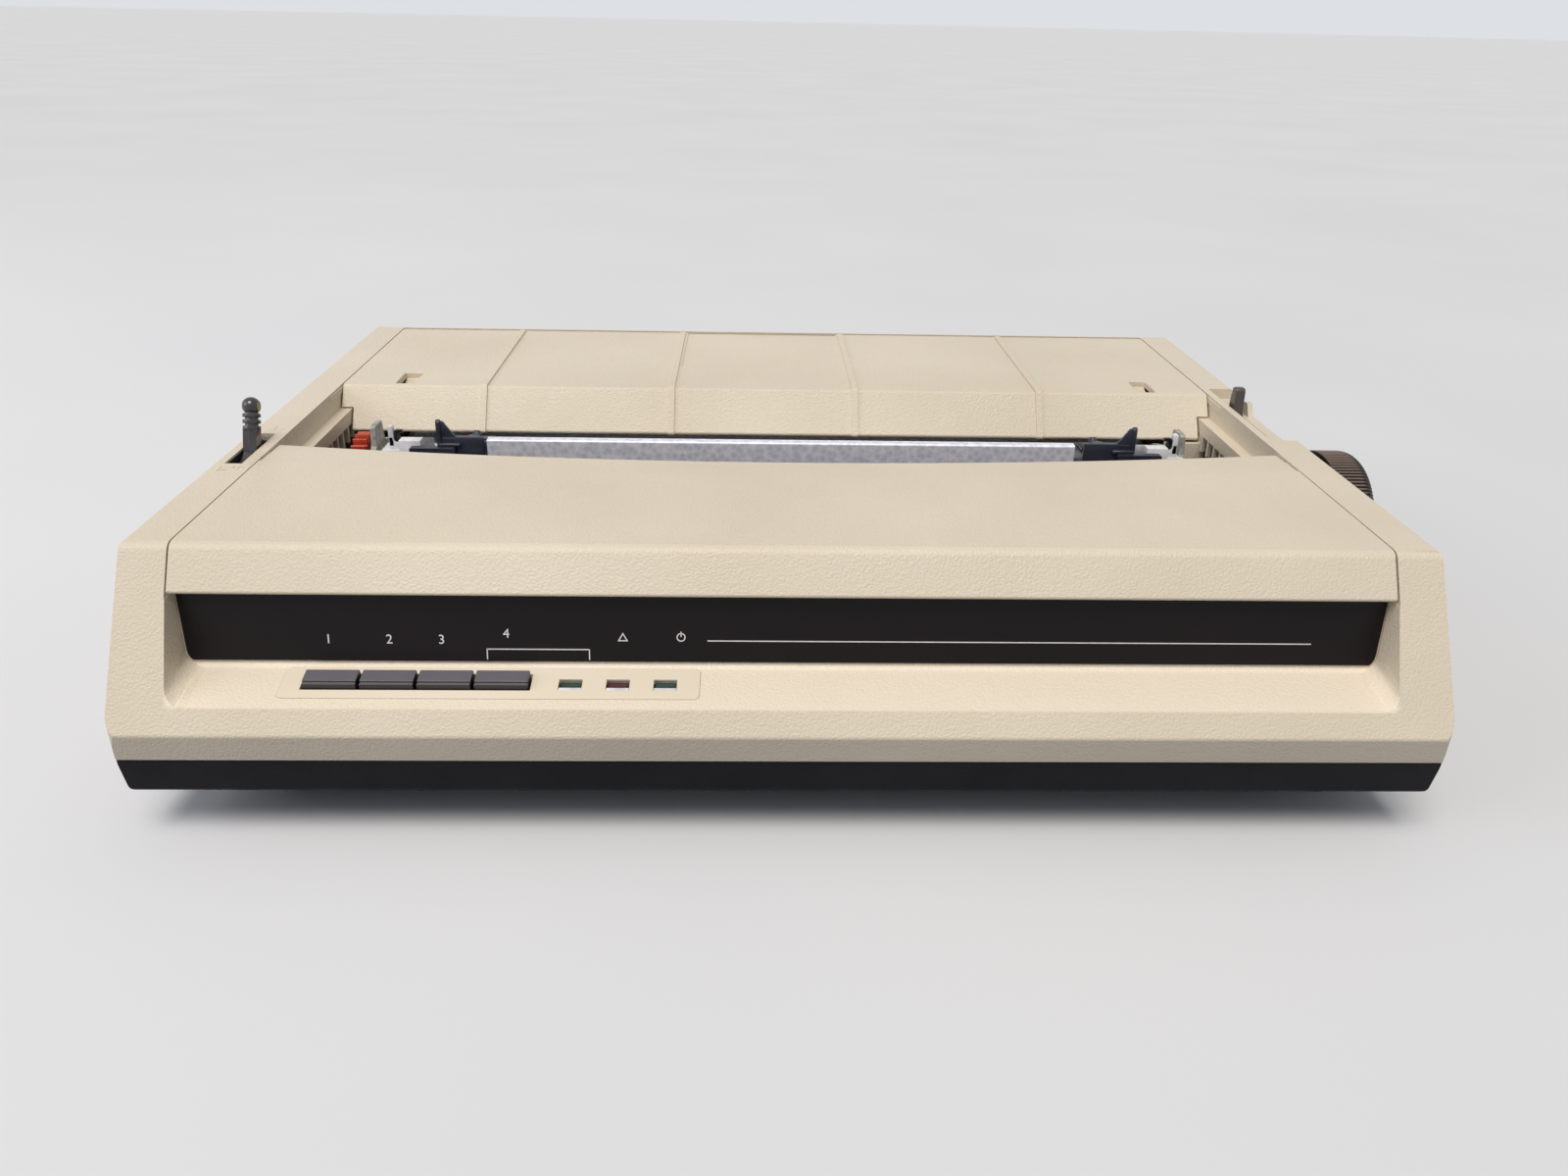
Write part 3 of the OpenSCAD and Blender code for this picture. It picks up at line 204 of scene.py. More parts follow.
def key_caps(name):
    """Moulded grey key caps: faces that look up are painted lighter as a painted highlight, sides
    darker as painted shade.
    """
    mat = new_material(name)
    facing = add(mat, "ShaderNodeNewGeometry")
    lit_top_share = add(mat, "ShaderNodeSeparateXYZ", Vector=facing.outputs["Normal"])
    smudge = pattern(mat, size_mm=4, Detail=4)
    skin = pattern(mat, size_mm=0.5)
    # painted highlight and shade: colour goes from 242123 on the sides to 66636A on faces that
    # look up
    color = toned(mat, lit_top_share.outputs["Z"], "242123", "66636A", low=0.7, high=0.96)
    return finish_material(mat, color, rough=(smudge, 0.3, 0.42), relief=(skin, 0.012), IOR=1.53)


def ridged_abs(name, dark, light, crest, radius_mm):
    """Brown ABS of the knob: dark, with the ridge crests painted paler as a painted highlight."""
    mat = new_material(name)
    where = add(mat, "ShaderNodeTexCoord")
    spoke = add(mat, "ShaderNodeVectorMath", {"operation": "SUBTRACT"},
                {0: where.outputs["Object"], 1: at(0, *PLATEN_YZ)})
    across = add(mat, "ShaderNodeVectorMath", {"operation": "MULTIPLY"},
                 {0: spoke.outputs["Vector"], 1: (0, 1, 1)})
    reach = add(mat, "ShaderNodeVectorMath", {"operation": "LENGTH"},
                {0: across.outputs["Vector"]})
    tone = pattern(mat, size_mm=4, Detail=3)
    # painted highlight: the colour turns to the crest tone within 0.3 mm of the crest radius
    color = toned(mat, reach.outputs["Value"], toned(mat, tone, dark, light), crest,
                  low=(radius_mm - 0.3) * MM, high=(radius_mm - 0.05) * MM)
    return finish_material(mat, color, rough=(tone, 0.3, 0.4), IOR=1.53, Specular_IOR_Level=0.4)


def glossy_nylon(name, dark, light, rough=(0.16, 0.26)):
    """Unfilled nylon from a polished tool: dark grey with bright, small highlights."""
    mat = new_material(name)
    tone = pattern(mat, size_mm=5, Detail=3)
    skin = pattern(mat, size_mm=0.8)
    return finish_material(mat, toned(mat, tone, dark, light), rough=(tone, *rough),
                           relief=(skin, 0.01), IOR=1.53, Coat_Weight=0.3)


def lamp_row(name):
    """Tinted polystyrene over unlit lamps: green, red, green; deep, glossy, nearly black."""
    mat = new_material(name)
    where = add(mat, "ShaderNodeTexCoord")
    place = add(mat, "ShaderNodeSeparateXYZ", Vector=where.outputs["Object"])
    middle = add(mat, "ShaderNodeMath", {"operation": "COMPARE"},
                 {0: place.outputs["X"], 1: (LAMP_X[1] + SHIFT_X) * MM, 2: LAMP_ZONE})
    depth = pattern(mat, size_mm=1.2)
    green = toned(mat, depth, "0E2620", "2A4D42", low=0, high=1)
    red = toned(mat, depth, "2C1018", "5A2430", low=0, high=1)
    color = add(mat, "ShaderNodeMix", {"data_type": "RGBA"}, Factor=middle.outputs[0], A=green,
                B=red)
    return finish_material(mat, color.outputs["Result"], rough=0.12, relief=(depth, 0.01),
                           IOR=1.59, Coat_Weight=0.6)


def printed_strip(name):
    """Back-printed polycarbonate strip: smooth, semi-gloss, near black with a warm cast."""
    mat = new_material(name)
    haze = pattern(mat, size_mm=25, stretch=(3, 1, 1), Detail=3)
    skin = pattern(mat, size_mm=0.35, Detail=1)
    return finish_material(mat, toned(mat, haze, "0D0809", "150F11"), rough=(haze, 0.3, 0.4),
                           relief=(skin, 0.006), IOR=1.58, Specular_IOR_Level=0.16)


def screen_ink(name, tone):
    """Screen-printed ink: matt, very slightly uneven."""
    mat = new_material(name)
    fading = pattern(mat, size_mm=1.2, Detail=3)
    return finish_material(mat, toned(mat, fading, tone, "E6E6E8"), rough=0.6,
                           relief=(fading, 0.004))


def zinc_sheet(name, dark="D3D4E1", light="F4F4FC", rough=(0.34, 0.52), metallic=0.25):
    """Galvanised sheet steel: speckled crystal spangle with fine rolling lines."""
    mat = new_material(name)
    spangle = pattern(mat, size_mm=2.2, kind="ShaderNodeTexVoronoi")
    speck = pattern(mat, size_mm=0.9, Detail=4, Roughness=0.7)
    rolling = pattern(mat, size_mm=0.25, stretch=(60, 1, 1))
    both = add(mat, "ShaderNodeMath", {"operation": "MULTIPLY"}, {0: spangle, 1: speck})
    color = toned(mat, both.outputs["Value"], dark, light, low=0.08, high=0.42)
    return finish_material(mat, color, rough=(speck, *rough), relief=(rolling, 0.01),
                           Metallic=metallic)


def ground_steel(name):
    """Centreless-ground rod: bright, with very fine rings round it."""
    mat = new_material(name)
    rings = pattern(mat, size_mm=0.2, stretch=(1, 40, 40), Detail=1)
    color = toned(mat, rings, "B7B9BD", "D9DBDE", low=0, high=1)
    return finish_material(mat, color, rough=(rings, 0.16, 0.3), relief=(rings, 0.004),
                           Metallic=1.0)


def cast_metal(name, dark, light, metallic=0.9):
    """Die-cast or plated metal: slightly mottled, soft highlights."""
    mat = new_material(name)
    mottle = pattern(mat, size_mm=3, Detail=4)
    skin = pattern(mat, size_mm=0.4, Detail=3)
    return finish_material(mat, toned(mat, mottle, dark, light), rough=(mottle, 0.34, 0.52),
                           relief=(skin, 0.02), Metallic=metallic)


def ground_rubber(name, dark, light):
    """Ground rubber: matt, finely abraded round the roll, greyed where paper runs."""
    mat = new_material(name)
    rub = pattern(mat, size_mm=8, stretch=(4, 1, 1), Detail=4)
    fine = pattern(mat, size_mm=0.3, stretch=(1, 6, 6))
    return finish_material(mat, toned(mat, rub, dark, light), rough=(rub, 0.55, 0.75),
                           relief=(fine, 0.015), IOR=1.5)


def acetal(name, dark, light):
    """Machined or moulded acetal: waxy, slightly translucent look, low gloss."""
    mat = new_material(name)
    tone = pattern(mat, size_mm=5)
    skin = pattern(mat, size_mm=0.6)
    return finish_material(mat, toned(mat, tone, dark, light), rough=(tone, 0.34, 0.46),
                           relief=(skin, 0.01), IOR=1.48)


def circuit_board(name):
    """Solder-masked laminate: green lacquer over faint square tracks."""
    mat = new_material(name)
    tracks = pattern(mat, size_mm=2.5, kind="ShaderNodeTexVoronoi",
                     settings={"distance": "CHEBYCHEV"})
    color = toned(mat, tracks, "2C5A2E", "4A7C45", low=0.2, high=0.45)
    return finish_material(mat, color, rough=0.32, relief=(tracks, 0.03), IOR=1.5)


# box on the recess shelf painted lighter (ECE0CC): a painted sheen of light, not a colour of the
# plastic
PAINTED_SHEEN_SHELF = ((-166.6, -133.3, 41), (166.6, -115, 48), "ECE0CC")
MATERIALS = {
    "case_beige": moulded_abs("moulded_beige_abs", "D4C8B3", "DDD2BE", grain_mm=0.75,
                              depth_mm=0.26, rough=(0.36, 0.5), gloss=0.5,
                              painted_sheen=PAINTED_SHEEN_SHELF),
    "base_dark": moulded_abs("moulded_charcoal_abs", "0C0B10", "141319", rough=(0.5, 0.65),
                             gloss=0.14),
    "panel_dark": printed_strip("printed_polycarbonate"),
    "key_grey": key_caps("moulded_grey_keys"),
    "lens_tint": lamp_row("tinted_lamp_lenses"),
    # 7A6A5E is the painted highlight on the knob's ridge crests
    "knob_brown": ridged_abs("moulded_brown_abs", "17100D", "241A16", "7A6A5E", KNOB_R),
    "tractor_black": satin_nylon("black_nylon", "262934", "373A46", gloss=0.35),
    "steel_plate": zinc_sheet("galvanised_steel"),
    "steel_shaft": ground_steel("ground_steel_rod"),
    "platen_rubber": ground_rubber("platen_rubber", "19191B", "262629"),
    "foot_rubber": ground_rubber("foot_rubber", "232221", "2E2D2B"),
    "gear_white": acetal("natural_acetal", "D8D2C2", "E6E1D4"),
    "gear_red": acetal("orange_acetal", "AC3A22", "CB553A"),
    "bracket_grey": acetal("grey_acetal", "B9BAB8", "CDCECB"),
    "brass_pinion": cast_metal("machined_brass", "B08A3C", "D3AF63", metallic=1.0),
    "board_green": circuit_board("green_laminate"),
    "board_parts": satin_nylon("moulded_packages", "1D1E20", "2B2C2F"),
    "motor_metal": cast_metal("plated_motor_can", "7E8084", "9B9DA0"),
    "core_metal": cast_metal("varnished_laminations", "5E5A55", "7D7974", metallic=0.7),
    "fitting_black": satin_nylon("black_fitting", "121212", "1C1C1C"),
    "connector_metal": cast_metal("tinned_shell", "A4A6A8", "C4C6C8"),
    "carriage_dark": satin_nylon("dark_nylon", "26282B", "34363A"),
    "head_metal": cast_metal("dark_die_casting", "45484C", "5F6266"),
    "sink_metal": cast_metal("bare_die_casting", "8C8F93", "A9ACB0"),
    "cartridge_black": satin_nylon("cartridge_polystyrene", "17181A", "232427"),
    "belt_black": ground_rubber("neoprene_belt", "151517", "202022"),
}
WHITE_INK = screen_ink("white_screen_ink", "D6D7DA")
LEVER_NYLON = glossy_nylon("polished_grey_nylon", "2B282A", "3A3638")
WARM_NYLON = glossy_nylon("brown_grey_nylon", "3B312F", "4B403C", rough=(0.28, 0.36))
SMOOTH_CASE = moulded_abs("smooth_beige_abs", "E6DAC5", "ECE1CE", grain_mm=0.7, depth_mm=0.03,
                          rough=(0.36, 0.46))
DULL_ZINC = zinc_sheet("dull_galvanised_steel", "85827D", "B3AFA8", rough=(0.45, 0.6))
LEVER_DISC = moulded_abs("lever_end_disc", "858064", "9A9574", grain_mm=0.5, depth_mm=0.02)
PALE_NYLON = acetal("pale_nylon", "CFCFD6", "E9E9EC")
# pale finish of the lamp sills: a painted reflection on each lens's lower edge
SILL_PAINTED_REFLECTION = acetal("lens_edge_painted_reflection", "C9CAD2", "F2F2F4")
HOOK_BLACK = glossy_nylon("black_hook", "0C0C0E", "151518")
SLOTS = {row["node"]: row["material_slot"] for row in frame["record"]["subparts"]}
BODY_OF = {node: body for body, nodes in frame["record"]["behaviour"]["bodies"].items()
           for node in nodes}


def wear(obj, mat):
    obj.data.materials.clear()
    obj.data.materials.append(mat)


for node_name, cad in frame["nodes"].items():
    wear(cad, MATERIALS[SLOTS[node_name]])


# ---------------------------------------------------------------- working on meshes
SHARP = math.radians(32)  # an angle between two faces from which their edge is rounded
ROUND_SEGMENTS = 2
ROOM_SHARE = 0.45  # share of a face's reach that one rounding may take
FOLDED = math.radians(150)  # an angle between two faces past which they are folded together
FOLD_LENGTH = 3 * MM  # a folded edge longer than this is a thin wall's own
SPECK = 1e-11  # an area in square metres, below which a face has no sure direction
ASKEW = 0.5  # cosine of the turn from which a triangle no longer lies in its face
CROSSED = 1e-22  # above this, the ends of one side surely lie to both sides of another
PARALLEL = 1e-20  # below this, two sides count as parallel
EASE_ROUNDS = 14  # tries at easing roundings that meet
EASE_LAST = 3  # the last of them, which leave such edges sharp
EASE_SHARE = 0.6  # what the other tries leave of a rounding
EASE_GROWTH = 0.4  # how much further each try reaches
ALONG = 0.75  # from here on, an edge counts as running along an axis
MERGE = 0.002 * MM  # corners nearer than this are one corner
FLAT = math.radians(0.6)  # faces that differ by less are one face


def only(obj):
    bpy.ops.object.select_all(action="DESELECT")
    obj.select_set(True)
    bpy.context.view_layer.objects.active = obj


def settle(obj):
    """Takes a piece's place, turn and size into its mesh."""
    only(obj)
    bpy.ops.object.transform_apply(location=True, rotation=True, scale=True)
    return obj


def modify(obj, kind, **settings):
    mod = obj.modifiers.new(kind.title(), kind)
    for key, value in settings.items():
        setattr(mod, key, value)
    only(obj)
    bpy.ops.object.modifier_apply(modifier=mod.name)


def keep(obj, node, name, mat=None, smooth=35):
    """Names a finished piece, gives it a node's body, and dresses it in the given finish or else
    in the finish of the node's slot.
    """
    obj.name = name
    obj.data.name = name
    settle(obj)
    bpy.ops.object.shade_smooth_by_angle(angle=math.radians(smooth))
    wear(obj, mat or MATERIALS[SLOTS[node]])
    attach(obj, BODY_OF[node])
    return obj


def edge_room(edge):
    """The widest bevel, in metres, that an edge can carry before it runs into its neighbours."""
    room = 1.0
    line = (edge.verts[1].co - edge.verts[0].co).normalized()
    for face in edge.link_faces:
        reach = max((corner.vert.co - edge.verts[0].co).cross(line).length
                    for corner in face.loops)
        room = min(room, ROOM_SHARE * reach)
    return room


def weigh_edges(obj, radius, wide):
    """Gives each sharp edge its share of the rounding; wide(edge) may ask for more millimetres."""
    widest = radius
    mesh = bmesh.new()
    mesh.from_mesh(obj.data)
    weight = mesh.edges.layers.float.new("bevel_weight_edge")
    wanted = {}
    for edge in mesh.edges:
        if edge.is_manifold and edge.calc_face_angle(0.0) > SHARP:
            asked = wide(edge) * MM if wide else 0
            wanted[edge] = min(asked or radius, edge_room(edge))
            widest = max(widest, wanted[edge])
    for edge, share in wanted.items():
        edge[weight] = share / widest
    mesh.to_mesh(obj.data)
    mesh.free()
    return widest


def crossings(points, normal):
    """Where a flat outline crosses itself."""
    side = normal.orthogonal().normalized()
    up = normal.cross(side)
    flat = np.array([(p.dot(side), p.dot(up)) for p in points])
    ahead = np.roll(flat, -1, axis=0)
    run = ahead - flat

    def turn(base, direction, point):
        return direction[:, None, 0] * (point[None, :, 1] - base[:, None, 1]) \
            - direction[:, None, 1] * (point[None, :, 0] - base[:, None, 0])

    split = turn(flat, run, flat) * turn(flat, run, ahead) < -CROSSED
    found = []
    for i, j in zip(*np.nonzero(split & split.T)):
        across = run[i][0] * run[j][1] - run[i][1] * run[j][0]
        if i < j and abs(across) > PARALLEL:
            gap = flat[j] - flat[i]
            share = (gap[0] * run[j][1] - gap[1] * run[j][0]) / across
            found.append(points[i].lerp(points[(i + 1) % len(points)], float(share)))
    return found


def tangles(shape):
    """Places where rounded edges ran over each other: crossed outlines and folded faces."""
    shape.calc_loop_triangles()
    suspects = {tri.polygon_index for tri in shape.loop_triangles if tri.area > SPECK
                and tri.normal.dot(shape.polygons[tri.polygon_index].normal) < ASKEW}
    spots = []
    for index in suspects:
        face = shape.polygons[index]
        corners = [shape.vertices[i].co.copy() for i in face.vertices]
        spots += crossings(corners, face.normal) or corners
    mesh = bmesh.new()
    mesh.from_mesh(shape)
    for edge in mesh.edges:
        if edge.is_manifold and edge.calc_face_angle(0.0) > FOLDED \
                and edge.calc_length() < FOLD_LENGTH \
                and min(face.calc_area() for face in edge.link_faces) > SPECK:
            spots.append((edge.verts[0].co + edge.verts[1].co) / 2)
    mesh.free()
    return spots


def ease(obj, spots, reach, factor):
    """Narrows the rounding of the edges that pass near the given places."""
    weights = obj.data.attributes["bevel_weight_edge"].data
    ends = np.array([[obj.data.vertices[i].co for i in edge.vertices] for edge in obj.data.edges])
    start, run = ends[:, 0], ends[:, 1] - ends[:, 0]
    length = np.maximum((run ** 2).sum(axis=1), 1e-18)  # squared, and never nought
    near = np.zeros(len(ends), bool)
    for spot in spots:
        along = np.clip(((np.array(spot) - start) * run).sum(axis=1) / length, 0, 1)
        gap = np.linalg.norm(start + run * along[:, None] - np.array(spot), axis=1)
        near |= gap < reach
    for index in np.nonzero(near)[0]:
        weights[index].value *= factor


def round_edges(obj, radius_mm, wide=None):
    """Rounds sharp edges, easing the radius wherever two roundings would meet."""
    widest = weigh_edges(obj, radius_mm * MM, wide)
    bevel = obj.modifiers.new("rounding", "BEVEL")
    bevel.width = widest
    bevel.segments = ROUND_SEGMENTS
    bevel.limit_method = "WEIGHT"
    bevel.use_clamp_overlap = False
    for turn in range(EASE_ROUNDS):
        shape = obj.evaluated_get(bpy.context.evaluated_depsgraph_get()).to_mesh()
        spots = tangles(shape)
        if not spots:
            break
        ease(obj, spots, widest * (1 + EASE_GROWTH * turn),
             EASE_SHARE if turn < EASE_ROUNDS - EASE_LAST else 0.0)
        obj.data.update()
    only(obj)
    bpy.ops.object.modifier_apply(modifier=bevel.name)


def wide_edges(rules):
    """Turns rules (low corner, high corner, radius, axis it runs along) into a lookup by edge.

    A rule's x has no sign, so that one rule serves both sides of the case.
    """
    def wide(edge):
        ends = [in_case(vert.co) for vert in edge.verts]
        run = (ends[1] - ends[0]).normalized()
        for low, high, radius, axis in rules:
            within = all(low[i] <= value <= high[i] for end in ends
                         for i, value in enumerate((abs(end.x), end.y, end.z)))
            if abs(run[axis]) > ALONG and within:
                return radius
        return 0
    return wide


def loose_copy(node):
    """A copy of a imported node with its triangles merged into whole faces."""
    source = frame["nodes"][node]
    obj = source.copy()
    obj.data = source.data.copy()
    bpy.context.collection.objects.link(obj)
    only(obj)
    bpy.ops.mesh.customdata_custom_splitnormals_clear()
    bpy.ops.object.mode_set(mode="EDIT")
    bpy.ops.mesh.select_all(action="SELECT")
    bpy.ops.mesh.remove_doubles(threshold=MERGE)
    bpy.ops.mesh.dissolve_limited(angle_limit=FLAT)
    bpy.ops.object.mode_set(mode="OBJECT")
    return obj


def cut_off(obj, place, way, **side):
    """Cuts through a piece at a place, square to way, and closes the cut."""
    only(obj)
    bpy.ops.object.mode_set(mode="EDIT")
    bpy.ops.mesh.select_all(action="SELECT")
    bpy.ops.mesh.bisect(plane_co=place, plane_no=Vector(way).normalized(), use_fill=True, **side)
    bpy.ops.object.mode_set(mode="OBJECT")
    return obj


def cut_above(obj, y, z, fall):
    """Cuts off what stands above a plane through y and z that falls towards the rear."""
    return cut_off(obj, at(0, y, z), (0, fall, 1), clear_outer=True)


def standing_for(obj, node, radius_mm, name, rules=()):
    """Rounds a reshaped copy and puts it in place of its node."""
    round_edges(obj, radius_mm, wide_edges(rules) if rules else None)
    keep(obj, node, name, smooth=40)
    modify(obj, "WEIGHTED_NORMAL", keep_sharp=True)
    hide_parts(node)


def softened(node, radius_mm, name):
    """Stands a copy of a packed moulding in for it, its edges rounded as the tool leaves them."""
    obj = loose_copy(node)
    if node in NARROWED:
        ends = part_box(node)
        middle = (ends[0][0] + ends[1][0]) / 2
        for vert in obj.data.vertices:
            vert.co.x = middle + (vert.co.x - middle) * NARROWED[node]
    standing_for(obj, node, radius_mm, name, WIDE.get(node, ()))


NARROWED = {f"button_{i}": 0.965 for i in range(1, 5)}  # room between the key caps
WIDE = {
    "upper_case": (((170, -140, 27), (185, -95, 81), 2.8, 2),
                   ((170, 95, 27), (185, 140, 81), 2.8, 2),
                   ((166, -105, 78), (171, 135, 81), 1.5, 1),
                   ((0, -134.8, 41), (167.5, -132.4, 43.4), 0.35, 0),
                   ((165, -135, 41), (170.5, -112, 69), 0.35, 2)),
    "lower_case": (((170, -140, 0), (185, -95, 28), 2.8, 2),
                   ((170, 95, 0), (185, 140, 28), 2.8, 2)),
}
SOFTENED = {
    "upper_case": ("case_shell", 0.8),
    "lower_case": ("base_tray", 0.8),
    "access_cover": ("front_cover", 0.5),
    "rear_cover": ("ribbed_cover", 0.5),
    "button_plate": ("button_bezel", 0.12),
    "button_1": ("button_cap_1", 0.35),
    "button_2": ("button_cap_2", 0.35),
    "button_3": ("button_cap_3", 0.35),
    "button_4": ("button_cap_4", 0.35),
    "release_lever": ("release_handle", 0.7),
    "gap_lever": ("gap_handle", 0.4),
    "paper_guide_bar": ("guide_bar", 0.15),
    "front_panel": ("printed_panel", 0.3),
    "ribbon_cartridge": ("ribbon_case", 0.5),
    "carriage": ("carriage_body", 0.5),
    "left_side_frame": ("left_plate", 0.15),
    "right_side_frame": ("right_plate", 0.15),
}
for node_name, (piece_name, radius) in SOFTENED.items():
    softened(node_name, radius, piece_name)


# ---------------------------------------------------------------- modelling by hand
ROUND_SIDES = 32  # sides of a small round piece
FACING = 0.9  # cosine of the turn up to which a face looks a given way


def slab(low, high, round_mm=0.0, segments=2):
    """A block between two corners in the case's millimetres, its edges rounded."""
    bpy.ops.object.select_all(action="DESELECT")
    low, high = at(*low), at(*high)
    bpy.ops.mesh.primitive_cube_add(size=1, location=(low + high) / 2)
    obj = bpy.context.object
    obj.scale = high - low
    settle(obj)
    if round_mm:
        modify(obj, "BEVEL", width=round_mm * MM, segments=segments)
    return obj


def turned(place, radius, depth, axis, inset_mm=0.0, sink_mm=0.0, round_mm=0.1):
    """A round boss along an axis, its outer face inset and sunk, its rims rounded."""
    bpy.ops.object.select_all(action="DESELECT")
    way = Vector(axis).normalized()
    bpy.ops.mesh.primitive_cylinder_add(vertices=ROUND_SIDES, radius=radius * MM,
                                        depth=depth * MM, location=at(*place),
                                        rotation=way.to_track_quat("Z", "Y").to_euler())
    obj = settle(bpy.context.object)
    if inset_mm:
        bpy.ops.object.mode_set(mode="EDIT")
        bpy.ops.mesh.select_all(action="DESELECT")
        bpy.ops.object.mode_set(mode="OBJECT")
        for face in obj.data.polygons:
            face.select = face.normal.dot(way) > FACING
        bpy.ops.object.mode_set(mode="EDIT")
        bpy.ops.mesh.inset(thickness=inset_mm * MM)
        bpy.ops.transform.translate(value=way * -sink_mm * MM)
        bpy.ops.object.mode_set(mode="OBJECT")
    if round_mm:
        modify(obj, "BEVEL", width=round_mm * MM, segments=2, limit_method="ANGLE")
    return obj


def joined(parts):
    bpy.ops.object.select_all(action="DESELECT")
    for part in parts:
        part.select_set(True)
    bpy.context.view_layer.objects.active = parts[0]
    bpy.ops.object.join()
    return bpy.context.object


def profile(points, axis, start, end, round_mm=0.0, segments=2):
    """A flat outline extruded along x or y; points are the other two places in millimetres."""
    bpy.ops.object.select_all(action="DESELECT")
    bpy.ops.mesh.primitive_circle_add(vertices=len(points), radius=1, fill_type="NGON")
    obj = bpy.context.object
    for vert, (a, b) in zip(obj.data.vertices, points):
        vert.co = at(start, a, b) if axis == "x" else at(a, start, b)
    run = Vector((end - start, 0, 0)) if axis == "x" else Vector((0, end - start, 0))
    bpy.ops.object.mode_set(mode="EDIT")
    bpy.ops.mesh.select_all(action="SELECT")
    bpy.ops.mesh.extrude_region_move(TRANSFORM_OT_translate={"value": run * MM})
    bpy.ops.mesh.select_all(action="SELECT")
    bpy.ops.mesh.normals_make_consistent(inside=False)
    bpy.ops.object.mode_set(mode="OBJECT")
    if round_mm:
        modify(obj, "BEVEL", width=round_mm * MM, segments=segments, limit_method="ANGLE")
    return obj


def moved_x(obj, shift_mm):
    for vert in obj.data.vertices:
        vert.co.x += shift_mm * MM
    return obj


# ---------------------------------------------------------------- paper drive in the opening
FALL = 0.34  # how fast the tops of the paper drive fall towards the rear
TRACTORS_AT = 2.3  # how far right of the case's middle the pair of tractors is centred
HOUSING_TOP = (-4.6, 75.0)  # y and z of the falling top's front
LID_TOP = (-4.6, 75.3)
LID_OUT = 123.8  # outer end of a lid
LID_EDGE = 0.35  # rounding of its edges
FIN_WIDTH = 1.6  # of the thumb fin, whose outline is in y and z
FIN_LINE = ((-7.3, 70.6), (-7.1, 80.7), (-6.4, 81.5), (-5.3, 81.5), (-3.2, 72.6), (-3.2, 70.6))
WEB_Y = (-6.3, -5.0)
WEB_LINE = ((117.0, 70.6), (117.0, 75.1), (118.4, 76.5), (120.2, 79.0), (121.3, 80.6),
            (123.1, 81.2), (123.1, 70.6))
LIP_IN = {-1: 107.5, 1: 105.4}  # inner end of each front lip: the left one stops at the bar
LIP_OUT = 118.0
LIP_FOOT = (-6.9, 69.0)  # y and z
LIP_CREST = (-5.3, 75.35)
LATCH_ROD = (119.4, -7.1, 72.6)
LATCH_R = 0.75
LATCH_LENGTH = 7.6
BRACKET_SHIFT = 1.7  # to the right
BRACKET_TOP = 73.6
BRACKET_CREST = -1.9  # y from which its top falls to the rear
TAB_Y = (-1.6, 0.6)
TAB_LINE = ((139.8, 70.0), (141.6, 70.0), (141.6, 76.9), (141.2, 77.4), (140.2, 77.4),
            (139.8, 76.9))
HOOK_Y = (-1.2, 0.3)
HOOK_LINE = ((137.3, 71.2), (139.6, 71.2), (139.6, 75.4), (138.9, 76.0), (136.6, 75.9),
             (136.4, 74.9), (138.0, 74.7))


def tractor_side(side, x):
    return side * x + TRACTORS_AT


def tractor_pieces(side, name):
    """Housing with its top falling to the rear, and the lid with its tall thumb fin."""
    node = name + "_tractor"
    housing = cut_above(loose_copy(node), *HOUSING_TOP, FALL)
    standing_for(housing, node, LID_EDGE, node + "_body")
    node = name + "_tractor_lid"
    lid = cut_above(loose_copy(node), *LID_TOP, FALL)
    round_edges(lid, LID_EDGE)
    web = profile([(tractor_side(side, x), z) for x, z in WEB_LINE], "y", *WEB_Y, 0.2)
    fin_x = sorted(tractor_side(side, x) for x in (LID_OUT - FIN_WIDTH, LID_OUT))
    fin = profile(FIN_LINE, "x", *fin_x, LID_EDGE)
    lip_x = sorted(tractor_side(side, x) for x in (LIP_IN[side], LIP_OUT))
    lip = slab((lip_x[0], *LIP_FOOT), (lip_x[1], *LIP_CREST), LID_EDGE)
    rod_x, rod_y, rod_z = LATCH_ROD
    rod = turned((tractor_side(side, rod_x), rod_y, rod_z), LATCH_R, LATCH_LENGTH, (1, 0, 0),
                 round_mm=0.4)
    lid = keep(joined([lid, web, fin, lip, rod]), node, name + "_lid", smooth=40)
    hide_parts(node)


def bracket_pieces():
    """Pale shaft brackets: low top face, upright tab and a small dark spring hook beside it."""
    body = cut_above(loose_copy("shaft_brackets"), 0, BRACKET_TOP, 0)
    body = cut_above(body, BRACKET_CREST, BRACKET_TOP, FALL)
    round_edges(body, 0.4)
    tabs = [profile([(side * x, z) for x, z in TAB_LINE], "y", *TAB_Y, 0.2) for side in (-1, 1)]
    body = moved_x(joined([body] + tabs), BRACKET_SHIFT)
    keep(body, "shaft_brackets", "grey_brackets", PALE_NYLON, smooth=40)
    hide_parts("shaft_brackets")
    for side, name in ((-1, "left_hook"), (1, "right_hook")):
        hook = profile([(side * x, z) for x, z in HOOK_LINE], "y", *HOOK_Y, 0.15)
        keep(moved_x(hook, BRACKET_SHIFT), "shaft_brackets", name, HOOK_BLACK)


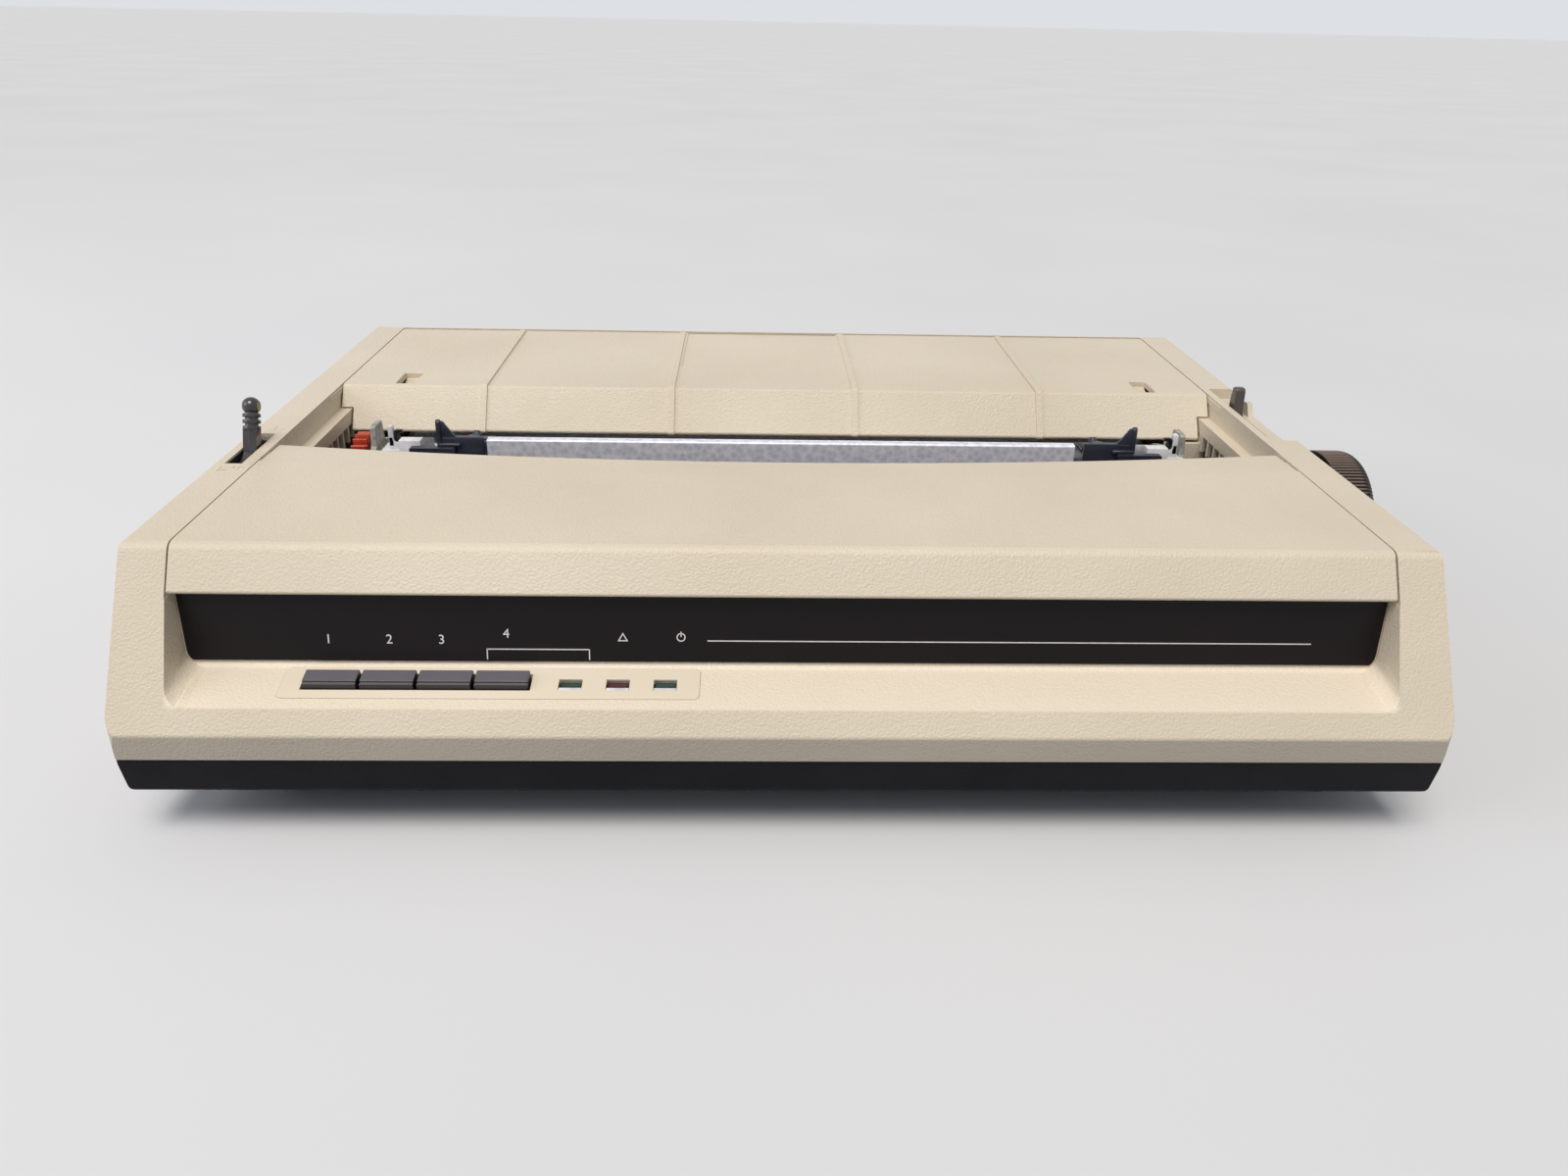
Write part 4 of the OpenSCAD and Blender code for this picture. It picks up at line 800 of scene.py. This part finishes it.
# ---------------------------------------------------------------- gap lever and its slot
LEVER_BALL = (-26.93, 92.21)  # y and z of its middle
LEVER_FLATS = (("lever_disc_inner", -172.62, 1), ("lever_disc_outer", -177.38, -1))
DISC_R = 1.5
DISC_DEPTH = 0.24
LINER = ((-177.58, -47.9, 68.0), (-177.3, -18.6, 79.3))
SADDLE_X = (-177.1, -172.9)
SADDLE_LINE = ((-42.4, 66.0), (-42.4, 73.6), (-41.4, 75.4), (-39.4, 77.0), (-36.6, 78.3),
               (-33.8, 79.6), (-28.6, 79.6), (-26.0, 77.0), (-26.0, 66.0))
MARK_Z = (79.9, 80.16)  # sunk a little in the rail, which ends at 80
MARKS = ((-177.6, -51.2, -173.2, -50.7), (-177.6, -55.0, -177.1, -51.0),
         (-173.7, -53.2, -173.2, -51.0), (-172.2, -51.2, -170.6, -50.7),
         (-172.2, -53.2, -171.7, -51.0), (-177.2, -14.2, -174.0, -13.7),
         (-174.5, -14.0, -174.0, -11.6), (-172.6, -14.2, -170.9, -13.7))
ARROW = ((-176.6, -54.6), (-174.4, -53.6), (-176.6, -52.6))


def lever_end():
    """Pale discs let into the two flats of the gap lever's ball."""
    for name, x, way in LEVER_FLATS:
        disc = turned((x, *LEVER_BALL), DISC_R, DISC_DEPTH, (way, 0, 0), inset_mm=0.3,
                      sink_mm=0.05, round_mm=0.04)
        keep(disc, "gap_lever", name, LEVER_DISC)


def lever_saddle():
    """Smooth quarter round the foot of the gap lever, and the dark liner of its slot."""
    keep(slab(*LINER, 0.08), "upper_case", "slot_liner", MATERIALS["base_dark"])
    saddle = profile(SADDLE_LINE, "x", *SADDLE_X, 0.5, 3)
    keep(saddle, "gap_lever", "gap_saddle", LEVER_NYLON, smooth=50)


def rail_marks():
    """Small raised marks in the rail at the two ends of the gap lever's travel."""
    parts = [slab((x0, y0, MARK_Z[0]), (x1, y1, MARK_Z[1]), 0.1) for x0, y0, x1, y1 in MARKS]
    arrow = profile(ARROW, "y", *MARK_Z)  # drawn upright, then laid down
    for vert in arrow.data.vertices:
        place = in_case(vert.co)
        vert.co = at(place.x, place.z, place.y)
    arrow.data.flip_normals()
    keep(joined(parts + [arrow]), "upper_case", "rail_marks")


# ---------------------------------------------------------------- recess, lamps and seams
SHELF_FOOT = (-133.625, 42.2)  # y and z of the shelf's lower line
PANEL_FOOT = (-116.5, 46.0)  # y and z of the panel's lower line
SHELF_TILT = math.atan2(PANEL_FOOT[1] - SHELF_FOOT[1], PANEL_FOOT[0] - SHELF_FOOT[0])
FRONT_LEAN = 27.5 / 44  # how far the case's front face leans back for each unit up
CHEEK_X = 166.6  # foot of the recess's end walls
CHEEK_LEAN = math.atan2(1.9, 24.5)
COVE_R = 4.6
COVE_STEPS = 8
COVE_PROUD = 0.05  # how far its surface stands in front of the case's own
COVE_BACK = 1.0  # how far its back goes into the wall
COVE_RUN = (-4, 18.2)  # along the shelf's slope, before the front is cut
COVE_FRONT = 0.015  # how far the cut stays behind the case's front face
SEAM_X = (168.12, 168.5)
SEAM_Z = (77.0, 79.1)
SEAM_RUNS = ((-104.0, -34.5), (26.0, 122.0))
LENS_HALF = 3.1
LENS_FOOT = (8.5, -3.1)  # along the shelf, and above it
LENS_CREST = (12.1, -0.75)
SILL_LINE = ((7.85, -3.1), (9.4, -3.1), (9.4, -0.6), (9.0, -0.05), (7.85, 0.12))


def lie_on_shelf(obj):
    """Moves a piece drawn flat at the origin on to the tilted shelf."""
    obj.matrix_world = Matrix.Translation((0, SHELF_FOOT[0] * MM, SHELF_FOOT[1] * MM)) \
        @ Matrix.Rotation(SHELF_TILT, 4, "X") @ obj.matrix_world
    return obj


def cove_line():
    """Outline of a cove across the shelf: x, and the height above the shelf."""
    centre = CHEEK_X - COVE_R / math.tan((math.pi / 2 + CHEEK_LEAN) / 2)
    back = CHEEK_X + COVE_BACK
    line = [(back, -0.8), (centre - 1.4, -0.8), (centre - 1.2, -0.03)]
    for step in range(COVE_STEPS + 1):
        swing = (math.pi / 2 - CHEEK_LEAN) * step / COVE_STEPS
        line.append((centre + (COVE_R - COVE_PROUD) * math.sin(swing),
                     COVE_R - (COVE_R - COVE_PROUD) * math.cos(swing)))
    return line + [(CHEEK_X + 0.6, COVE_R + 2.2), (back, COVE_R + 2.2)]


def recess_coves():
    """The two round corners where the shelf runs up into the ends of the recess."""
    parts = []
    for side in (-1, 1):
        obj = profile([(side * x, up) for x, up in cove_line()], "y", *COVE_RUN)
        settle(lie_on_shelf(obj))
        cut_off(obj, at(0, SHELF_FOOT[0] + COVE_FRONT, SHELF_FOOT[1]), (0, 1, -FRONT_LEAN),
                clear_inner=True)
        modify(obj, "BEVEL", width=0.3 * MM, segments=2, limit_method="ANGLE",
               angle_limit=math.radians(50))
        parts.append(obj)
    keep(joined(parts), "upper_case", "recess_coves")


def seam_strips():
    """Thin rebate of the case below each cover's side gap, which closes it to the inside."""
    parts = []
    for side in (-1, 1):
        near, far = sorted(side * x for x in SEAM_X)
        for front, rear in SEAM_RUNS:
            parts.append(slab((near, front, SEAM_Z[0]), (far, rear, SEAM_Z[1]), 0.05, 1))
    keep(joined(parts), "upper_case", "seam_strips")


def lamp_pieces():
    """Lenses with rounded shoulders, sunk in their windows, and below each a pale sill that is a
    painted reflection of the lens's lower edge.
    """
    lenses = [slab((x - LENS_HALF, *LENS_FOOT), (x + LENS_HALF, *LENS_CREST), 0.55, 3)
              for x in LAMP_X]
    row = keep(lie_on_shelf(joined(lenses)), "lamp_lenses", "lamp_row")
    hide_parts("lamp_lenses")
    # painted reflection: a pale strip along each lens's lower edge
    reflection_sills = [profile(SILL_LINE, "x", x - LENS_HALF, x + LENS_HALF, 0.1) for x in LAMP_X]
    keep(lie_on_shelf(joined(reflection_sills)), "button_plate", "lamp_sills", SILL_PAINTED_REFLECTION)


# ---------------------------------------------------------------- platen knob
KNOB_X = (182.6, 196.0)
KNOB_ROLL = 4.8  # radius of the rolled-over rim
ROLL_STEP = 15  # degrees
KNOB_GROOVE = 0.6
KNOB_RIDGE = (0, 0.1, 0.45, 1, 1, 0.45, 0.1)  # depth below the crest across one ridge
KNOB_RIDGES = 108  # one each 1.3 mm
KNOB_DISH = ((0.0, 0.86), (-1.2, 0.97), (0.0, 0.3), (0.5, 0.9))  # moves out, share of the radius


def knob_piece():
    """Platen knob: fine round ridges on a rim that rolls over into a dished end."""
    sides = len(KNOB_RIDGE) * KNOB_RIDGES
    bpy.ops.object.select_all(action="DESELECT")
    bpy.ops.mesh.primitive_circle_add(vertices=sides, radius=KNOB_R * MM, fill_type="NGON")
    obj = bpy.context.object
    for index, vert in enumerate(obj.data.vertices):
        angle = 2 * math.pi * index / sides
        radius = KNOB_R - KNOB_GROOVE * KNOB_RIDGE[index % len(KNOB_RIDGE)]
        vert.co = at(KNOB_X[0], PLATEN_YZ[0] + radius * math.cos(angle),
                     PLATEN_YZ[1] + radius * math.sin(angle))
    straight = KNOB_X[1] - KNOB_ROLL
    steps = [(straight - KNOB_X[0], 1.0)]
    last_r, last_x = KNOB_R, straight
    for turn in range(ROLL_STEP, 91, ROLL_STEP):
        radius = KNOB_R - KNOB_ROLL + KNOB_ROLL * math.cos(math.radians(turn))
        place = straight + KNOB_ROLL * math.sin(math.radians(turn))
        steps.append((place - last_x, radius / last_r))
        last_r, last_x = radius, place
    bpy.ops.object.mode_set(mode="EDIT")
    bpy.ops.mesh.select_all(action="SELECT")
    for run, scale in (*steps, *KNOB_DISH):
        bpy.ops.mesh.extrude_region_move(TRANSFORM_OT_translate={"value": (run * MM, 0, 0)})
        if scale != 1:
            bpy.ops.transform.resize(value=(1, scale, scale),
                                     center_override=at(KNOB_X[0], *PLATEN_YZ))
    bpy.ops.mesh.select_all(action="SELECT")
    bpy.ops.mesh.normals_make_consistent(inside=False)
    bpy.ops.object.mode_set(mode="OBJECT")
    keep(obj, "platen_knob", "ridged_knob", smooth=50)
    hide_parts("platen_knob")


tractor_pieces(-1, "left")
tractor_pieces(1, "right")
bracket_pieces()
lever_end()
lamp_pieces()
lever_saddle()
rail_marks()
knob_piece()
recess_coves()
seam_strips()
for piece_name, special in (("gap_handle", LEVER_NYLON), ("release_handle", WARM_NYLON),
                            ("button_bezel", SMOOTH_CASE), ("left_plate", DULL_ZINC),
                            ("right_plate", DULL_ZINC)):
    wear(bpy.data.objects[piece_name], special)


# ---------------------------------------------------------------- printing on the dark panel
PANEL_LEAN = math.atan2(4.5, 23.0)
PANEL_FRONT = -0.8  # the panel's front face, in its own leaning frame
INK_MM = 0.06
INK_LINE = 0.3
TRIANGLE_MM = 2.5  # its height
RING_R = 1.25
NUMERAL_MM = 2.6
LETTER_SIZE = 1.45  # size of a letter that gives a numeral one unit high
NUMERALS = (("1", -127.4, 52.6), ("2", -110.8, 52.6), ("3", -96.5, 52.6), ("4", -78.7, 54.4))


def lean_on_panel(obj):
    """Moves a piece drawn upright at the origin on to the leaning panel."""
    obj.matrix_world = Matrix.Translation((0, PANEL_FOOT[0] * MM, PANEL_FOOT[1] * MM)) \
        @ Matrix.Rotation(-PANEL_LEAN, 4, "X") @ obj.matrix_world
    return obj


def up_panel(z):
    return (z - PANEL_FOOT[1]) / math.cos(PANEL_LEAN)


def ink_line(x0, x1, z0, z1):
    return slab((x0, PANEL_FRONT - INK_MM, up_panel(z0)), (x1, PANEL_FRONT + 0.02, up_panel(z1)),
                0.015, 1)


def ink_numeral(text, x, z):
    """A plain numeral, as wide as its own shape, centred on x."""
    bpy.ops.object.select_all(action="DESELECT")
    bpy.ops.object.text_add(location=(0, 0, 0))
    obj = bpy.context.object
    obj.data.body = text
    obj.data.size = NUMERAL_MM * MM * LETTER_SIZE
    obj.data.align_x = "CENTER"
    obj.data.extrude = INK_MM * MM / 2
    obj.data.resolution_u = 4
    bpy.ops.object.convert(target="MESH")
    obj = bpy.context.object
    obj.matrix_world = Matrix.Translation(at(x, PANEL_FRONT - INK_MM / 2 + 0.01, up_panel(z))) \
        @ Matrix.Rotation(math.radians(90), 4, "X")
    return settle(obj)


def ink_outline(corners, x, up, radius):
    """An upright ring, or with three corners a triangle, drawn as one line of ink."""
    bpy.ops.object.select_all(action="DESELECT")
    bpy.ops.mesh.primitive_circle_add(vertices=corners, radius=radius * MM, fill_type="NGON",
                                      location=at(x, PANEL_FRONT - INK_MM, up),
                                      rotation=(math.radians(90), 0, 0))
    obj = settle(bpy.context.object)
    bpy.ops.object.mode_set(mode="EDIT")
    bpy.ops.mesh.select_all(action="SELECT")
    bpy.ops.mesh.inset(thickness=INK_LINE * MM)
    bpy.ops.mesh.delete(type="FACE")
    bpy.ops.object.mode_set(mode="OBJECT")
    modify(obj, "SOLIDIFY", thickness=INK_MM * MM, offset=-1)
    return obj


def print_panel():
    """Bracket line, long rule, numerals, and a triangle and a broken ring over two lamps."""
    printing = {
        "panel_bracket": [ink_line(-84.3, -55.8, 51.0, 51.3), ink_line(-84.3, -84.0, 48.2, 51.3),
                          ink_line(-56.1, -55.8, 48.2, 51.3)],
        "panel_rule": [ink_line(-23.2, 147.1, 53.65, 53.95)],
        "panel_numerals": [ink_numeral(*numeral) for numeral in NUMERALS],
        "panel_lamp_marks": [ink_outline(3, -46.6, up_panel(53.6) + TRIANGLE_MM / 3,
                                         TRIANGLE_MM / 1.5),
                             ink_outline(ROUND_SIDES, -30.5, up_panel(54.8), RING_R),
                             ink_line(-30.65, -30.35, 54.9, 56.4)],
    }
    for name, parts in printing.items():
        keep(lean_on_panel(joined(parts)), "front_panel", name, WHITE_INK)


print_panel()


# ---------------------------------------------------------------- camera, light and floor
CAMERA_AT = (-19.3, -404.3, 211.0)
CAMERA_YAW = 2.0
CAMERA_PITCH = -25.95
CAMERA_ROLL = 1.27
LENS_MM = 27.05
SENSOR_MM = 36
BACKDROP = "DDE0E4"
ROOM_LIGHT = 0.36


def camera():
    data = bpy.data.cameras.new("camera")
    data.lens = LENS_MM
    data.sensor_width = SENSOR_MM
    data.clip_start = 0.01
    obj = bpy.data.objects.new("camera", data)
    bpy.context.collection.objects.link(obj)
    yaw = Matrix.Rotation(math.radians(-CAMERA_YAW), 4, "Z")
    pitch = Matrix.Rotation(math.radians(90 + CAMERA_PITCH), 4, "X")
    roll = Matrix.Rotation(math.radians(CAMERA_ROLL), 4, "Z")
    obj.matrix_world = Matrix.Translation(Vector(CAMERA_AT) * MM) @ yaw @ pitch @ roll
    bpy.context.scene.camera = obj


def lamp(name, kind, energy, tint):
    data = bpy.data.lights.new(name, kind)
    data.energy = energy
    data.color = srgb(tint)[:3]
    obj = bpy.data.objects.new(name, data)
    bpy.context.collection.objects.link(obj)
    return obj


def softbox(name, place, aim, size, power, tint):
    """A rectangle of light at a place, turned to its aim; all in metres."""
    obj = lamp(name, "AREA", power, tint)
    obj.data.shape = "RECTANGLE"
    obj.data.size, obj.data.size_y = size
    obj.location = place
    obj.rotation_euler = (Vector(aim) - Vector(place)).to_track_quat("-Z", "Y").to_euler()


def sky_panel(name, azimuth, elevation, width, strength, tint):
    """A broad, far light: azimuth from the front, positive to the right, in degrees."""
    obj = lamp(name, "SUN", strength, tint)
    obj.data.angle = math.radians(width)
    obj.rotation_euler = (math.radians(90 - elevation), 0, math.radians(azimuth))


def world():
    """Soft even room light; what the camera and reflections see is the backdrop's own tone."""
    studio = bpy.data.worlds.new("studio")
    bpy.context.scene.world = studio
    studio.use_nodes = True
    nodes = studio.node_tree.nodes
    light = nodes["Background"]
    light.inputs["Color"].default_value = srgb("EDF0F4")
    light.inputs["Strength"].default_value = ROOM_LIGHT
    seen = add(studio, "ShaderNodeBackground", Color=BACKDROP)
    blend = add(studio, "ShaderNodeMixShader", None,
                {0: seen_rays(studio), 1: light.outputs[0], 2: seen.outputs[0]})
    studio.node_tree.links.new(blend.outputs[0], nodes["World Output"].inputs["Surface"])


def floor():
    """Pale ground; what it throws back on to the object is that of a mid grey."""
    bpy.ops.mesh.primitive_circle_add(radius=40, vertices=96, fill_type="NGON")
    obj = bpy.context.object
    obj.name = "floor"
    mat = new_material("pale_floor")
    pale = toned(mat, pattern(mat, size_mm=300), "D9DBDF", "DDDFE2")
    color = add(mat, "ShaderNodeMix", {"data_type": "RGBA"}, Factor=seen_rays(mat), A="8E9198",
                B=pale)
    wear(obj, finish_material(mat, color.outputs["Result"], 0.85))


camera()
sky_panel("key", azimuth=-14, elevation=66, width=34, strength=2.2, tint="FFF8F0")
softbox("left_fill", place=(-1.3, -0.5, 0.75), aim=(0.05, 0, 0.06), size=(1.0, 0.8), power=5.5,
        tint="F8F8FF")
world()
floor()
bpy.context.scene.view_settings.view_transform = "Standard"
